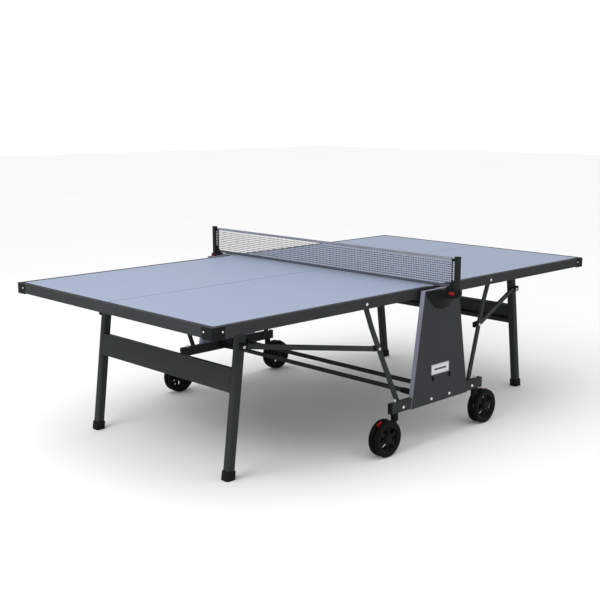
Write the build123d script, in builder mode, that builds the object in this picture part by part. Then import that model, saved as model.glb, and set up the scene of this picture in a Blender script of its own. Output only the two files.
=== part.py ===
from build123d import *
from math import cos, hypot, radians, sin, tan
import os

# Folding table-tennis table. Millimetres. +X runs along the table, +Y across it (the net runs along Y),
# +Z is up, and the origin is on the floor under the middle of the net.
# Each half is drawn for +X ("right") and mirrored for "left"; paired pieces are drawn for +Y ("rear")
# and mirrored for "front".

# Playing surface
TABLE_HALF_LENGTH = 1370
TABLE_HALF_WIDTH = 762.5
TABLE_TOP = 760
HALF_GAP = 6  # between the two halves, under the net
BOARD_THICKNESS = 6
APRON_HEIGHT = 48
APRON_WEB = 3
APRON_FLANGE = 25
LEDGE_DEPTH = 12
LEDGE_THICKNESS = 3
CAP_REACH = 66
CAP_PROUD = 2
CAP_DROP = 4

# Fold: the inner pivot of each half slides down a guide while the arm carries its middle
GUIDE_PIVOT = (95, 738)
ARM_TOP = (475, 734)
ARM_FOOT = (268, 218)
ARM_TOP_Y = 748
ARM_FOOT_Y = 778
ARM_WIDTH = 22
ARM_THICKNESS = 12
BRACE_REACH = 240  # from the top of the arm down to the brace's pivot on it
BRACE_WIDTH = 24
BRACE_THICKNESS = 12
BRACE_LEG_Y = 543
BRACE_ARM_Y = 740

# Legs
FOOT_X = 1100
LEG_Y = 515
LEG_TILT = 7.2
LEG_SIZE = 40
LEG_CORNER = 8
LEG_WALL = 2
LEG_HINGE_Z = 714
BRACE_LEG_Z = 592
CROSSBAR_Z = 437
CROSSBAR_HEIGHT = 107
CROSSBAR_DEPTH = 30
FOOT_SIZE = 50
FOOT_HEIGHT = 42
FOOT_CORNER = 10

# Trolley
RAIL_Y = 799
RAIL_Z = 223
RAIL_DEPTH = 26
RAIL_HEIGHT = 52
RAIL_HALF_LENGTH = 347
RAIL_WALL = 2
PANEL_INNER_Y = 792
PANEL_OUTER_Y = 820
FACING = 3
PANEL_BOTTOM = 196
PANEL_TOP = 755
PANEL_HALF_BOTTOM = 216
PANEL_HALF_TOP = 128
BADGE = (138, 53)
BADGE_CENTRE = (-8, 363)
CROSS_TUBE = (75, 230)
CROSS_TUBE_SIZE = 20
TRACK_Y = 768
TRACK_BOTTOM = 344
TRACK_TOP = 753
TRACK_WALL = 4
ROLLER_RADIUS = 12
SHAFT_RADIUS = 8
ROLLER_START = 770
ROLLER_END = 789

# Casters
STEM = (312, 794)
CASTER_TRAIL = 67
WHEEL_RADIUS = 88
WHEEL_WIDTH = 22.5
WHEEL_GAP = 13
FORK_THICKNESS = 10.5

# Net
POST_Y = 906
POST_SIZE = (22, 26)
POST_TOP = 917.5
POST_BOTTOM = 720
POST_CORNER = 4
NET_HALF_SPAN = 871
NET_TOP = 912
NET_TAPE = 14
NET_HEM = 15
NET_BOTTOM = 765
NET_THICKNESS = 2

# Fits
NUT_RECESS = 1
RUNNING = 0.1  # radial, between a pin and its bore
CLEAR = 0.4  # between two parts that move past each other

INNER_X = HALF_GAP / 2
APRON_BOTTOM = TABLE_TOP - APRON_HEIGHT
BOARD_BOTTOM = TABLE_TOP - BOARD_THICKNESS
WHEEL_X = STEM[0] + CASTER_TRAIL

os.makedirs("parts", exist_ok=True)


def save(part, name):
    """Label a finished piece and write it as its own file."""
    part.label = name
    export_step(part, f"parts/{name}.step")


def save_both_ends(part, name):
    """Write a piece of the right half, and its mirror image on the left half."""
    save(part, f"{name}_right")
    save(mirror(part, about=Plane.YZ), f"{name}_left")


def outward(x, y, z):
    """A plane at a point that faces +Y, away from the table's middle."""
    return Plane(origin=(x, y, z), x_dir=(1, 0, 0), z_dir=(0, 1, 0))


def upward(x, y, z):
    """A plane at a point that faces +Z."""
    return Plane(origin=(x, y, z), x_dir=(1, 0, 0), z_dir=(0, 0, 1))


def endward(x, y, z):
    """A plane at a point that faces +X, towards the end of the table."""
    return Plane(origin=(x, y, z), x_dir=(0, 1, 0), z_dir=(1, 0, 0))


def round_head(seat, radius, height):
    """A round head with a rounded rim that stands on the seat."""
    with BuildPart() as head:
        with Locations(seat.offset(height / 2)):
            Cylinder(radius, height)
        fillet(head.faces().sort_by(Axis(seat.origin, seat.z_dir))[-1].edges(), 0.6 * height)
    return head.part


def bolt(seat, shank, length, head, height):
    """Round-headed bolt whose head stands on the seat and whose shank goes into it."""
    with BuildPart() as round_bolt:
        add(round_head(seat, head, height))
        with Locations(seat.offset(-length / 2)):
            Cylinder(shank, length)
    return round_bolt.part


def nut(seat, hole, radius, height):
    """Closed nut that stands on the seat over the end of a stem."""
    with BuildPart() as closed_nut:
        add(round_head(seat, radius, height))
        with Locations(seat.offset(NUT_RECESS / 2)):
            Cylinder(hole, NUT_RECESS, mode=Mode.SUBTRACT)
    return closed_nut.part


def disc(seat, radius, thickness):
    """Add a plain round piece that stands on the seat."""
    with Locations(seat.offset(thickness / 2)):
        Cylinder(radius, thickness)


def bore(seat, radius, depth):
    """Cut a round hole that goes into the seat."""
    with Locations(seat.offset(-depth / 2)):
        Cylinder(radius, depth, mode=Mode.SUBTRACT)


# ---------------------------------------------------------------- the halves of the table

SECTION = APRON_FLANGE + LEDGE_DEPTH
BOARD_X = (INNER_X + APRON_FLANGE, TABLE_HALF_LENGTH - APRON_FLANGE)
BOARD_Y = TABLE_HALF_WIDTH - APRON_FLANGE

with BuildPart() as board:
    with BuildSketch(upward(sum(BOARD_X) / 2, 0, BOARD_BOTTOM)):
        Rectangle(BOARD_X[1] - BOARD_X[0], 2 * BOARD_Y)
    extrude(amount=BOARD_THICKNESS)


def edge_section(start, outer, inward, length, plan):
    """A length of the edge section, cut to its four-sided plan so that its ends are mitred.

    The section has a web, a flush top flange, and a ledge that the board rests on.
    """
    web = outer + inward * APRON_WEB
    flange = outer + inward * APRON_FLANGE
    ledge = flange + inward * LEDGE_DEPTH
    with BuildPart() as section:
        with BuildSketch(start):
            with BuildLine():
                Polyline(
                    (outer, APRON_BOTTOM),
                    (web, APRON_BOTTOM),
                    (web, BOARD_BOTTOM - LEDGE_THICKNESS),
                    (ledge, BOARD_BOTTOM - LEDGE_THICKNESS),
                    (ledge, BOARD_BOTTOM),
                    (flange, BOARD_BOTTOM),
                    (flange, TABLE_TOP),
                    (outer, TABLE_TOP),
                    close=True,
                )
            make_face()
        extrude(amount=length)
        with BuildSketch(upward(0, 0, APRON_BOTTOM)):
            with BuildLine():
                Polyline(*plan, close=True)
            make_face()
        extrude(amount=APRON_HEIGHT, mode=Mode.INTERSECT)
    return section.part


def cross_section(outer, inward):
    """The edge section across the table whose outer face is at one place along it."""
    inner = outer + inward * SECTION
    plan = [
        (outer, -TABLE_HALF_WIDTH),
        (outer, TABLE_HALF_WIDTH),
        (inner, TABLE_HALF_WIDTH - SECTION),
        (inner, SECTION - TABLE_HALF_WIDTH),
    ]
    start = Plane.XZ.offset(-TABLE_HALF_WIDTH)
    return edge_section(start, outer, inward, 2 * TABLE_HALF_WIDTH, plan)


CAP_FACE_X = TABLE_HALF_LENGTH + CAP_PROUD
CAP_FACE_Y = TABLE_HALF_WIDTH + CAP_PROUD
CAP_WALL = CAP_PROUD + APRON_WEB + 4
CAP_TOP = TABLE_TOP - 2
CAP_BOLT_X = TABLE_HALF_LENGTH - 52
CAP_BOLT_Y = TABLE_HALF_WIDTH - 52
CAP_BOLT_Z = 738
CAP_SCREW = 2.5
PIVOT_PIN = 4

side_section = edge_section(
    endward(INNER_X, 0, 0),
    TABLE_HALF_WIDTH,
    -1,
    TABLE_HALF_LENGTH - INNER_X,
    [
        (INNER_X, TABLE_HALF_WIDTH),
        (TABLE_HALF_LENGTH, TABLE_HALF_WIDTH),
        (TABLE_HALF_LENGTH - SECTION, TABLE_HALF_WIDTH - SECTION),
        (INNER_X + SECTION, TABLE_HALF_WIDTH - SECTION),
    ],
)

with BuildPart() as side_aprons:
    add(side_section)
    bore(outward(GUIDE_PIVOT[0], TABLE_HALF_WIDTH, GUIDE_PIVOT[1]), SHAFT_RADIUS + RUNNING, APRON_WEB)
    bore(outward(ARM_TOP[0], TABLE_HALF_WIDTH, ARM_TOP[1]), PIVOT_PIN, APRON_WEB)
    bore(outward(CAP_BOLT_X, TABLE_HALF_WIDTH, CAP_BOLT_Z), CAP_SCREW, APRON_WEB)
    mirror(about=Plane.XZ)

with BuildPart() as end_apron:
    add(cross_section(TABLE_HALF_LENGTH, -1))
    for bolt_y in (-CAP_BOLT_Y, CAP_BOLT_Y):
        bore(endward(TABLE_HALF_LENGTH, bolt_y, CAP_BOLT_Z), CAP_SCREW, APRON_WEB)

with BuildPart() as inner_apron:
    add(cross_section(INNER_X, 1))

with BuildPart() as corner_caps:
    with BuildSketch(upward(0, 0, APRON_BOTTOM - CAP_DROP)):
        with BuildLine():
            Polyline(
                (CAP_FACE_X, CAP_FACE_Y),
                (CAP_FACE_X - CAP_REACH, CAP_FACE_Y),
                (CAP_FACE_X - CAP_REACH, CAP_FACE_Y - CAP_WALL),
                (CAP_FACE_X - CAP_WALL, CAP_FACE_Y - CAP_WALL),
                (CAP_FACE_X - CAP_WALL, CAP_FACE_Y - CAP_REACH),
                (CAP_FACE_X, CAP_FACE_Y - CAP_REACH),
                close=True,
            )
        make_face()
    extrude(amount=CAP_TOP - APRON_BOTTOM + CAP_DROP)
    outer_edges = corner_caps.edges().filter_by(Axis.Z).group_by(Axis.X)[-1]
    fillet(outer_edges.sort_by(Axis.Y)[-1], 6)
    add(side_aprons.part, mode=Mode.SUBTRACT)
    add(end_apron.part, mode=Mode.SUBTRACT)
    bore(outward(CAP_BOLT_X, CAP_FACE_Y, CAP_BOLT_Z), CAP_SCREW, CAP_WALL)
    bore(endward(CAP_FACE_X, CAP_BOLT_Y, CAP_BOLT_Z), CAP_SCREW, CAP_WALL)
    mirror(about=Plane.XZ)

RIB_Y = 300
RIB_X = (130, 1330)
RIB_WIDTH = 36
RIB_DEPTH = 22
RIB_WALL = 2

with BuildPart() as ribs:
    with BuildSketch(endward(RIB_X[0], RIB_Y, BOARD_BOTTOM - RIB_DEPTH / 2)):
        Rectangle(RIB_WIDTH, RIB_DEPTH)
        with Locations((0, RIB_WALL)):
            Rectangle(RIB_WIDTH - 2 * RIB_WALL, RIB_DEPTH, mode=Mode.SUBTRACT)
    extrude(amount=RIB_X[1] - RIB_X[0])
    mirror(about=Plane.XZ)

# ---------------------------------------------------------------- legs

tilt = radians(LEG_TILT)
leg_plane = Plane(origin=(FOOT_X, 0, 0), x_dir=(cos(tilt), 0, sin(tilt)), z_dir=(-sin(tilt), 0, cos(tilt)))


def leg_x(z):
    """Where the leg's axis is along the table at a height."""
    return FOOT_X - z * tan(tilt)


LEG_HINGE = (leg_x(LEG_HINGE_Z), LEG_HINGE_Z)
BRACE_LEG = (leg_x(BRACE_LEG_Z), BRACE_LEG_Z)
LEG_START = 10
LEG_END = LEG_HINGE_Z / cos(tilt) + 18
HINGE_PIN = 5
EAR = 4
EAR_Y = LEG_SIZE / 2 + 0.6
CROSSBAR_WALL = 2.5
CROSSBAR_SLOT = 18
CROSSBAR_SLOT_DROP = 20

with BuildPart() as legs:
    with BuildSketch(leg_plane.offset(LEG_START)):
        with Locations((0, LEG_Y)):
            RectangleRounded(LEG_SIZE, LEG_SIZE, LEG_CORNER)
            hollow = LEG_SIZE - 2 * LEG_WALL
            RectangleRounded(hollow, hollow, LEG_CORNER - LEG_WALL, mode=Mode.SUBTRACT)
    extrude(amount=LEG_END - LEG_START)
    bore(outward(LEG_HINGE[0], LEG_Y + LEG_SIZE, LEG_HINGE[1]), HINGE_PIN + RUNNING, 2 * LEG_SIZE)
    bore(outward(BRACE_LEG[0], LEG_Y + LEG_SIZE, BRACE_LEG[1]), PIVOT_PIN + RUNNING, 2 * LEG_SIZE)
    mirror(about=Plane.XZ)

# The crossbar is a rolled channel between the legs, flush with their outer faces, slotted inside.
across_legs = Plane(origin=leg_plane.origin, x_dir=leg_plane.x_dir, z_dir=(0, -1, 0))
with BuildPart() as crossbar:
    with BuildSketch(across_legs):
        with Locations(((LEG_SIZE - CROSSBAR_DEPTH) / 2, CROSSBAR_Z / cos(tilt))):
            Rectangle(CROSSBAR_DEPTH, CROSSBAR_HEIGHT)
            Rectangle(
                CROSSBAR_DEPTH - 2 * CROSSBAR_WALL,
                CROSSBAR_HEIGHT - 2 * CROSSBAR_WALL,
                mode=Mode.SUBTRACT,
            )
        with Locations((LEG_SIZE / 2 - CROSSBAR_DEPTH, CROSSBAR_Z / cos(tilt) - CROSSBAR_SLOT_DROP)):
            Rectangle(CROSSBAR_DEPTH / 2, CROSSBAR_SLOT, mode=Mode.SUBTRACT)
    extrude(amount=LEG_Y - LEG_SIZE / 2, both=True)

leg_frame = Compound([*legs.solids(), *crossbar.solids()])

with BuildPart() as feet:
    with BuildSketch(leg_plane.offset(-FOOT_SIZE / 4)):
        with Locations((0, LEG_Y)):
            RectangleRounded(FOOT_SIZE, FOOT_SIZE, FOOT_CORNER)
    extrude(amount=FOOT_HEIGHT + FOOT_SIZE / 4)
    chamfer(feet.faces().sort_by(Axis.Z)[-1].edges(), 2)
    with BuildSketch(leg_plane.offset(LEG_START)):
        with Locations((0, LEG_Y)):
            RectangleRounded(LEG_SIZE, LEG_SIZE, LEG_CORNER)
    extrude(amount=FOOT_HEIGHT, mode=Mode.SUBTRACT)
    split(bisect_by=Plane.XY, keep=Keep.TOP)
    mirror(about=Plane.XZ)

BRACKET_BASE = (120, 84)
BRACKET_PLATE = 4
EAR_RADIUS = 16
EAR_TOP = 42
BRACKET_Z = BOARD_BOTTOM - BRACKET_PLATE

with BuildPart() as leg_brackets:
    with BuildSketch(upward(LEG_HINGE[0], LEG_Y, BRACKET_Z)):
        RectangleRounded(*BRACKET_BASE, 8)
    extrude(amount=BRACKET_PLATE)
    for ear_y in (LEG_Y - EAR_Y, LEG_Y + EAR_Y + EAR):
        with BuildSketch(Plane.XZ.offset(-ear_y)):
            with BuildLine():
                Polyline(
                    (LEG_HINGE[0] - EAR_RADIUS, LEG_HINGE_Z),
                    (LEG_HINGE[0] - EAR_TOP, BRACKET_Z),
                    (LEG_HINGE[0] + EAR_TOP, BRACKET_Z),
                    (LEG_HINGE[0] + EAR_RADIUS, LEG_HINGE_Z),
                )
                ThreePointArc(
                    (LEG_HINGE[0] + EAR_RADIUS, LEG_HINGE_Z),
                    (LEG_HINGE[0], LEG_HINGE_Z - EAR_RADIUS),
                    (LEG_HINGE[0] - EAR_RADIUS, LEG_HINGE_Z),
                )
            make_face()
        extrude(amount=EAR)
    bore(outward(LEG_HINGE[0], LEG_Y + LEG_SIZE, LEG_HINGE_Z), HINGE_PIN, 2 * LEG_SIZE)
    mirror(about=Plane.XZ)

# ---------------------------------------------------------------- arms and braces

ARM_LENGTH = hypot(ARM_TOP[0] - ARM_FOOT[0], ARM_TOP[1] - ARM_FOOT[1])
ARM_FLAT_TOP = 130
ARM_FLAT_FOOT = 30
BRACE_FLAT = 45


def toward(start, end, distance):
    """The point at a distance from one point towards another, in the XZ plane."""
    share = distance / hypot(end[0] - start[0], end[1] - start[1])
    return (start[0] + share * (end[0] - start[0]), start[1] + share * (end[1] - start[1]))


BRACE_ARM = toward(ARM_TOP, ARM_FOOT, BRACE_REACH)
arm_slant = (ARM_FOOT_Y - ARM_TOP_Y) / (ARM_LENGTH - ARM_FLAT_TOP - ARM_FLAT_FOOT)
BRACE_BOLT_SEAT = ARM_TOP_Y + arm_slant * (BRACE_REACH - ARM_FLAT_TOP) + ARM_THICKNESS / 2


def joggled_bar(start, end, side, flat, width, thickness):
    """A flat bar with round ends between two pivots, joggled sideways between its flat ends."""
    length = hypot(end[0] - start[0], end[1] - start[1])
    run = ((end[0] - start[0]) / length, 0, (end[1] - start[1]) / length)
    origin = (start[0], 0, start[1])
    line = [
        (-width / 2, side[0]),
        (flat[0], side[0]),
        (length - flat[1], side[1]),
        (length + width / 2, side[1]),
    ]
    outer_line = [(t, y + thickness / 2) for t, y in line]
    inner_line = [(t, y - thickness / 2) for t, y in reversed(line)]
    with BuildPart() as bar:
        with BuildSketch(Plane(origin=origin, x_dir=run, z_dir=(-run[2], 0, run[0]))):
            with BuildLine():
                Polyline(*outer_line, *inner_line, close=True)
            make_face()
        extrude(amount=width / 2, both=True)
        with BuildSketch(Plane(origin=origin, x_dir=run, z_dir=(0, 1, 0))):
            with Locations((length / 2, 0)):
                SlotCenterToCenter(length, width)
        extrude(amount=2 * TABLE_HALF_WIDTH, mode=Mode.INTERSECT)
    return bar.part


arm_bar = joggled_bar(
    ARM_TOP,
    ARM_FOOT,
    (ARM_TOP_Y, ARM_FOOT_Y),
    (ARM_FLAT_TOP, ARM_FLAT_FOOT),
    ARM_WIDTH,
    ARM_THICKNESS,
)
arm_brace_bolt = bolt(
    outward(BRACE_ARM[0], BRACE_BOLT_SEAT, BRACE_ARM[1]),
    PIVOT_PIN,
    BRACE_BOLT_SEAT - BRACE_ARM_Y - BRACE_THICKNESS / 2 - CLEAR,
    7,
    4,
)
with BuildPart() as arms:
    add(arm_bar)
    bore(outward(ARM_TOP[0], TABLE_HALF_WIDTH, ARM_TOP[1]), PIVOT_PIN + RUNNING, 40)
    disc(outward(ARM_FOOT[0], ARM_FOOT_Y - ARM_THICKNESS / 2 - 3, ARM_FOOT[1]), 9, 3)
    add(arm_brace_bolt)
    mirror(about=Plane.XZ)

brace_bar = joggled_bar(
    BRACE_LEG,
    BRACE_ARM,
    (BRACE_LEG_Y, BRACE_ARM_Y),
    (BRACE_FLAT, BRACE_FLAT),
    BRACE_WIDTH,
    BRACE_THICKNESS,
)
brace_bolt = bolt(
    outward(BRACE_LEG[0], BRACE_LEG_Y + BRACE_THICKNESS / 2, BRACE_LEG[1]), PIVOT_PIN, 58, 7, 4
)
with BuildPart() as braces:
    add(brace_bar)
    add(brace_bolt)
    mirror(about=Plane.XZ)

frame_bolt_set = [
    bolt(outward(ARM_TOP[0], TABLE_HALF_WIDTH, ARM_TOP[1]), PIVOT_PIN, 28, 7, 3.5),
    bolt(outward(CAP_BOLT_X, CAP_FACE_Y, CAP_BOLT_Z), CAP_SCREW, CAP_PROUD + APRON_WEB, 5.5, 2.5),
    bolt(endward(CAP_FACE_X, CAP_BOLT_Y, CAP_BOLT_Z), CAP_SCREW, CAP_PROUD + APRON_WEB, 5.5, 2.5),
    bolt(outward(LEG_HINGE[0], LEG_Y + EAR_Y + EAR, LEG_HINGE_Z), HINGE_PIN, 2 * (EAR_Y + EAR), 8, 4),
]
with BuildPart() as frame_bolts:
    add(frame_bolt_set)
    disc(outward(ARM_TOP[0], ARM_TOP_Y + ARM_THICKNESS / 2 + CLEAR, ARM_TOP[1]), 9, 5)
    disc(outward(ARM_TOP[0], ARM_TOP_Y - ARM_THICKNESS / 2 - CLEAR - 5, ARM_TOP[1]), 8, 5)
    disc(outward(LEG_HINGE[0], LEG_Y - EAR_Y - EAR - 5, LEG_HINGE_Z), 8, 5)
    mirror(about=Plane.XZ)

with BuildPart() as guide_shaft:
    disc(outward(GUIDE_PIVOT[0], 0, GUIDE_PIVOT[1]), SHAFT_RADIUS, ROLLER_END)
    disc(outward(GUIDE_PIVOT[0], ROLLER_START, GUIDE_PIVOT[1]), ROLLER_RADIUS, ROLLER_END - ROLLER_START)
    mirror(about=Plane.XZ)

half_parts = {
    "board": board.part,
    "side_aprons": side_aprons.part,
    "end_apron": end_apron.part,
    "inner_apron": inner_apron.part,
    "corner_caps": corner_caps.part,
    "ribs": ribs.part,
    "leg_frame": leg_frame,
    "feet": feet.part,
    "leg_brackets": leg_brackets.part,
    "arms": arms.part,
    "braces": braces.part,
    "frame_bolts": frame_bolts.part,
    "guide_shaft": guide_shaft.part,
}
for name, part in half_parts.items():
    save_both_ends(part, name)

# ---------------------------------------------------------------- trolley

RAIL_INNER_Y = RAIL_Y - RAIL_DEPTH / 2
RAIL_OUTER_Y = RAIL_Y + RAIL_DEPTH / 2
RAIL_TOP = RAIL_Z + RAIL_HEIGHT / 2
RAIL_BOTTOM = RAIL_Z - RAIL_HEIGHT / 2
RAIL_CAP = 6
PANEL_BOLT = (70, 220)
TROLLEY_SCREW = 4
STEM_RADIUS = 6
NUT_RADIUS = 8
NUT_HEIGHT = 13
PANEL_REBATE_GAP = 0.2

rail_inside = (RAIL_DEPTH - 2 * RAIL_WALL, RAIL_HEIGHT - 2 * RAIL_WALL)

with BuildPart() as side_rails:
    with BuildSketch(endward(-RAIL_HALF_LENGTH, RAIL_Y, RAIL_Z)):
        RectangleRounded(RAIL_DEPTH, RAIL_HEIGHT, 3)
        Rectangle(*rail_inside, mode=Mode.SUBTRACT)
    extrude(amount=2 * RAIL_HALF_LENGTH)
    for stem_x in (-STEM[0], STEM[0]):
        bore(upward(stem_x, STEM[1], RAIL_TOP), STEM_RADIUS + RUNNING, RAIL_HEIGHT)
    for screw_x, screw_z in (ARM_FOOT, PANEL_BOLT):
        for side in (-1, 1):
            bore(outward(side * screw_x, RAIL_OUTER_Y, screw_z), TROLLEY_SCREW, RAIL_DEPTH)
    mirror(about=Plane.XZ)

with BuildPart() as rail_end_caps:
    with BuildSketch(endward(RAIL_HALF_LENGTH, RAIL_Y, RAIL_Z)):
        RectangleRounded(RAIL_DEPTH, RAIL_HEIGHT, 3)
    extrude(amount=RAIL_CAP)
    chamfer(rail_end_caps.faces().sort_by(Axis.X)[-1].edges(), 1.5)
    with BuildSketch(endward(RAIL_HALF_LENGTH, RAIL_Y, RAIL_Z)):
        Rectangle(*rail_inside)
    extrude(amount=-18)
    mirror(about=Plane.XZ)
    mirror(about=Plane.YZ)


def panel_outline(inset):
    """Corners of the tapered side panel, drawn in by an inset all round."""
    top, bottom = PANEL_TOP - inset, PANEL_BOTTOM + inset
    half_top, half_bottom = PANEL_HALF_TOP - inset, PANEL_HALF_BOTTOM - inset
    return [(-half_bottom, bottom), (half_bottom, bottom), (half_top, top), (-half_top, top)]


BOARD_OUTER_Y = PANEL_OUTER_Y - FACING
SKIN_INNER_Y = RAIL_OUTER_Y + PANEL_REBATE_GAP

with BuildPart() as side_panels:
    with BuildSketch(Plane.XZ.offset(-PANEL_INNER_Y)):
        with BuildLine():
            Polyline(*panel_outline(0), close=True)
        make_face()
    extrude(amount=PANEL_INNER_Y - BOARD_OUTER_Y)
    with Locations((0, (PANEL_INNER_Y + SKIN_INNER_Y) / 2 - 1, (RAIL_TOP + PANEL_BOTTOM) / 2)):
        Box(
            2 * RAIL_HALF_LENGTH,
            SKIN_INNER_Y - PANEL_INNER_Y + 2,
            RAIL_TOP - PANEL_BOTTOM + 2 * PANEL_REBATE_GAP,
            mode=Mode.SUBTRACT,
        )
    for side in (-1, 1):
        bore(outward(side * PANEL_BOLT[0], PANEL_OUTER_Y, PANEL_BOLT[1]), TROLLEY_SCREW, 20)
    mirror(about=Plane.XZ)

with BuildPart() as panel_facings:
    with BuildSketch(Plane.XZ.offset(-PANEL_OUTER_Y)):
        with BuildLine():
            Polyline(*panel_outline(1), close=True)
        make_face()
    extrude(amount=FACING)
    for side in (-1, 1):
        bore(outward(side * PANEL_BOLT[0], PANEL_OUTER_Y, PANEL_BOLT[1]), TROLLEY_SCREW, FACING)
    mirror(about=Plane.XZ)

with BuildPart() as badge_plates:
    with BuildSketch(outward(BADGE_CENTRE[0], PANEL_OUTER_Y, BADGE_CENTRE[1])):
        RectangleRounded(*BADGE, 4)
    extrude(amount=2)
    mirror(about=Plane.XZ)

HOOK_X = 65
HOOK_Z = 320
HOOK = (7, 8, 24)

with BuildPart() as panel_hooks:
    with Locations(*[(side * HOOK_X, PANEL_OUTER_Y + HOOK[1] / 2, HOOK_Z) for side in (-1, 1)]):
        Box(*HOOK)
    chamfer(panel_hooks.edges().filter_by(Axis.X).group_by(Axis.Y)[-1], 3)
    mirror(about=Plane.XZ)

SOCKET = (150, 24, 36)  # length, small end and large end of the socket on each end of a cross tube

with BuildPart() as cross_tubes:
    with BuildSketch(outward(CROSS_TUBE[0], 0, CROSS_TUBE[1])):
        RectangleRounded(CROSS_TUBE_SIZE, CROSS_TUBE_SIZE, 4)
        RectangleRounded(CROSS_TUBE_SIZE - 3, CROSS_TUBE_SIZE - 3, 2.5, mode=Mode.SUBTRACT)
    extrude(amount=RAIL_INNER_Y, both=True)
    mirror(about=Plane.YZ)

with BuildPart() as tube_sockets:
    with BuildSketch(outward(CROSS_TUBE[0], RAIL_INNER_Y - SOCKET[0], CROSS_TUBE[1])):
        RectangleRounded(SOCKET[1], SOCKET[1], 4)
    with BuildSketch(outward(CROSS_TUBE[0], RAIL_INNER_Y, CROSS_TUBE[1])):
        RectangleRounded(SOCKET[1], SOCKET[2], 4)
    loft()
    with BuildSketch(outward(CROSS_TUBE[0], RAIL_INNER_Y, CROSS_TUBE[1])):
        RectangleRounded(CROSS_TUBE_SIZE, CROSS_TUBE_SIZE, 4)
    extrude(amount=-SOCKET[0], mode=Mode.SUBTRACT)
    mirror(about=Plane.XZ)
    mirror(about=Plane.YZ)

TRACK_INSIDE = 2 * (ROLLER_RADIUS + CLEAR)
TRACK_OUTSIDE = TRACK_INSIDE + 2 * TRACK_WALL
TRACK_WEB = 2

with BuildPart() as guide_tracks:
    with BuildSketch(upward(GUIDE_PIVOT[0], 0, TRACK_BOTTOM)):
        with Locations((0, (TRACK_Y + PANEL_INNER_Y) / 2)):
            Rectangle(TRACK_OUTSIDE, PANEL_INNER_Y - TRACK_Y)
    extrude(amount=TRACK_TOP - TRACK_BOTTOM)
    with BuildSketch(upward(GUIDE_PIVOT[0], 0, TRACK_BOTTOM + TRACK_WALL)):
        with Locations((0, (TRACK_Y + PANEL_INNER_Y) / 2 - TRACK_WEB)):
            Rectangle(TRACK_INSIDE, PANEL_INNER_Y - TRACK_Y)
    extrude(amount=TRACK_TOP - TRACK_BOTTOM, mode=Mode.SUBTRACT)
    mirror(about=Plane.XZ)
    mirror(about=Plane.YZ)

trolley_screws = []
for side in (-1, 1):
    rail_seat = outward(side * ARM_FOOT[0], RAIL_OUTER_Y, ARM_FOOT[1])
    panel_seat = outward(side * PANEL_BOLT[0], PANEL_OUTER_Y, PANEL_BOLT[1])
    nut_seat = upward(side * STEM[0], STEM[1], RAIL_TOP)
    trolley_screws.append(bolt(rail_seat, TROLLEY_SCREW, RAIL_DEPTH, 7.5, 4))
    trolley_screws.append(bolt(panel_seat, TROLLEY_SCREW, 20, 7.5, 4))
    trolley_screws.append(nut(nut_seat, STEM_RADIUS + RUNNING, NUT_RADIUS, NUT_HEIGHT))
with BuildPart() as trolley_bolts:
    add(trolley_screws)
    mirror(about=Plane.XZ)

# ---------------------------------------------------------------- net

SHIELD_TOP = 757
SHIELD_HALF_TOP = 127
SHIELD_SIDE = (118, 725)
SHIELD_SHOULDER = (90, 701)
SHIELD_TIP = 656
SHIELD_PLATE = 3
BOSS_BOTTOM = 712
BOSS_HALF_X = 22
BOSS_INNER_Y = 858
BOSS_OUTER_Y = 928
BOSS_CORNER = 15
LIP_HALF_X = 32
GUSSET = (8, 28)  # thickness and height
CHEEK = (1.6, 828, 878, 792)  # thickness, inner end, top end and top height
LEVER = (30, 14)
LEVER_Y = 892
LEVER_Z = 742
LEVER_PROUD = 5
LEVER_SUNK = 6
LEVER_POCKET = 9.5
CLIP_THICKNESS = 8
CLIP_Z = (792, 907)
POST_INNER_Y = POST_Y - POST_SIZE[1] / 2


def facing_rear(y):
    """A plane across the table at a place along Y, drawn in X and Z; extrude by a minus to go rearward."""
    return Plane.XZ.offset(-y)


def shield_face(plane, half_top, side, shoulder, tip):
    """A face with a straight top, sides that taper in two steps and a rounded bottom."""
    with BuildSketch(plane) as face:
        with BuildLine():
            Line((-half_top, SHIELD_TOP), (half_top, SHIELD_TOP))
            Polyline((half_top, SHIELD_TOP), side, shoulder)
            ThreePointArc(shoulder, (0, tip), (-shoulder[0], shoulder[1]))
            Polyline((-shoulder[0], shoulder[1]), (-side[0], side[1]), (-half_top, SHIELD_TOP))
        make_face()
    return face.sketch


shield_back = shield_face(
    facing_rear(PANEL_OUTER_Y), SHIELD_HALF_TOP, SHIELD_SIDE, SHIELD_SHOULDER, SHIELD_TIP
)
shield_front = shield_face(
    facing_rear(PANEL_OUTER_Y + SHIELD_PLATE), SHIELD_HALF_TOP, SHIELD_SIDE, SHIELD_SHOULDER, SHIELD_TIP
)
shield_end = shield_face(
    facing_rear(BOSS_INNER_Y),
    BOSS_HALF_X,
    (BOSS_HALF_X, BOSS_BOTTOM + 24),
    (BOSS_HALF_X, BOSS_BOTTOM + 6),
    BOSS_BOTTOM,
)

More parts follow.
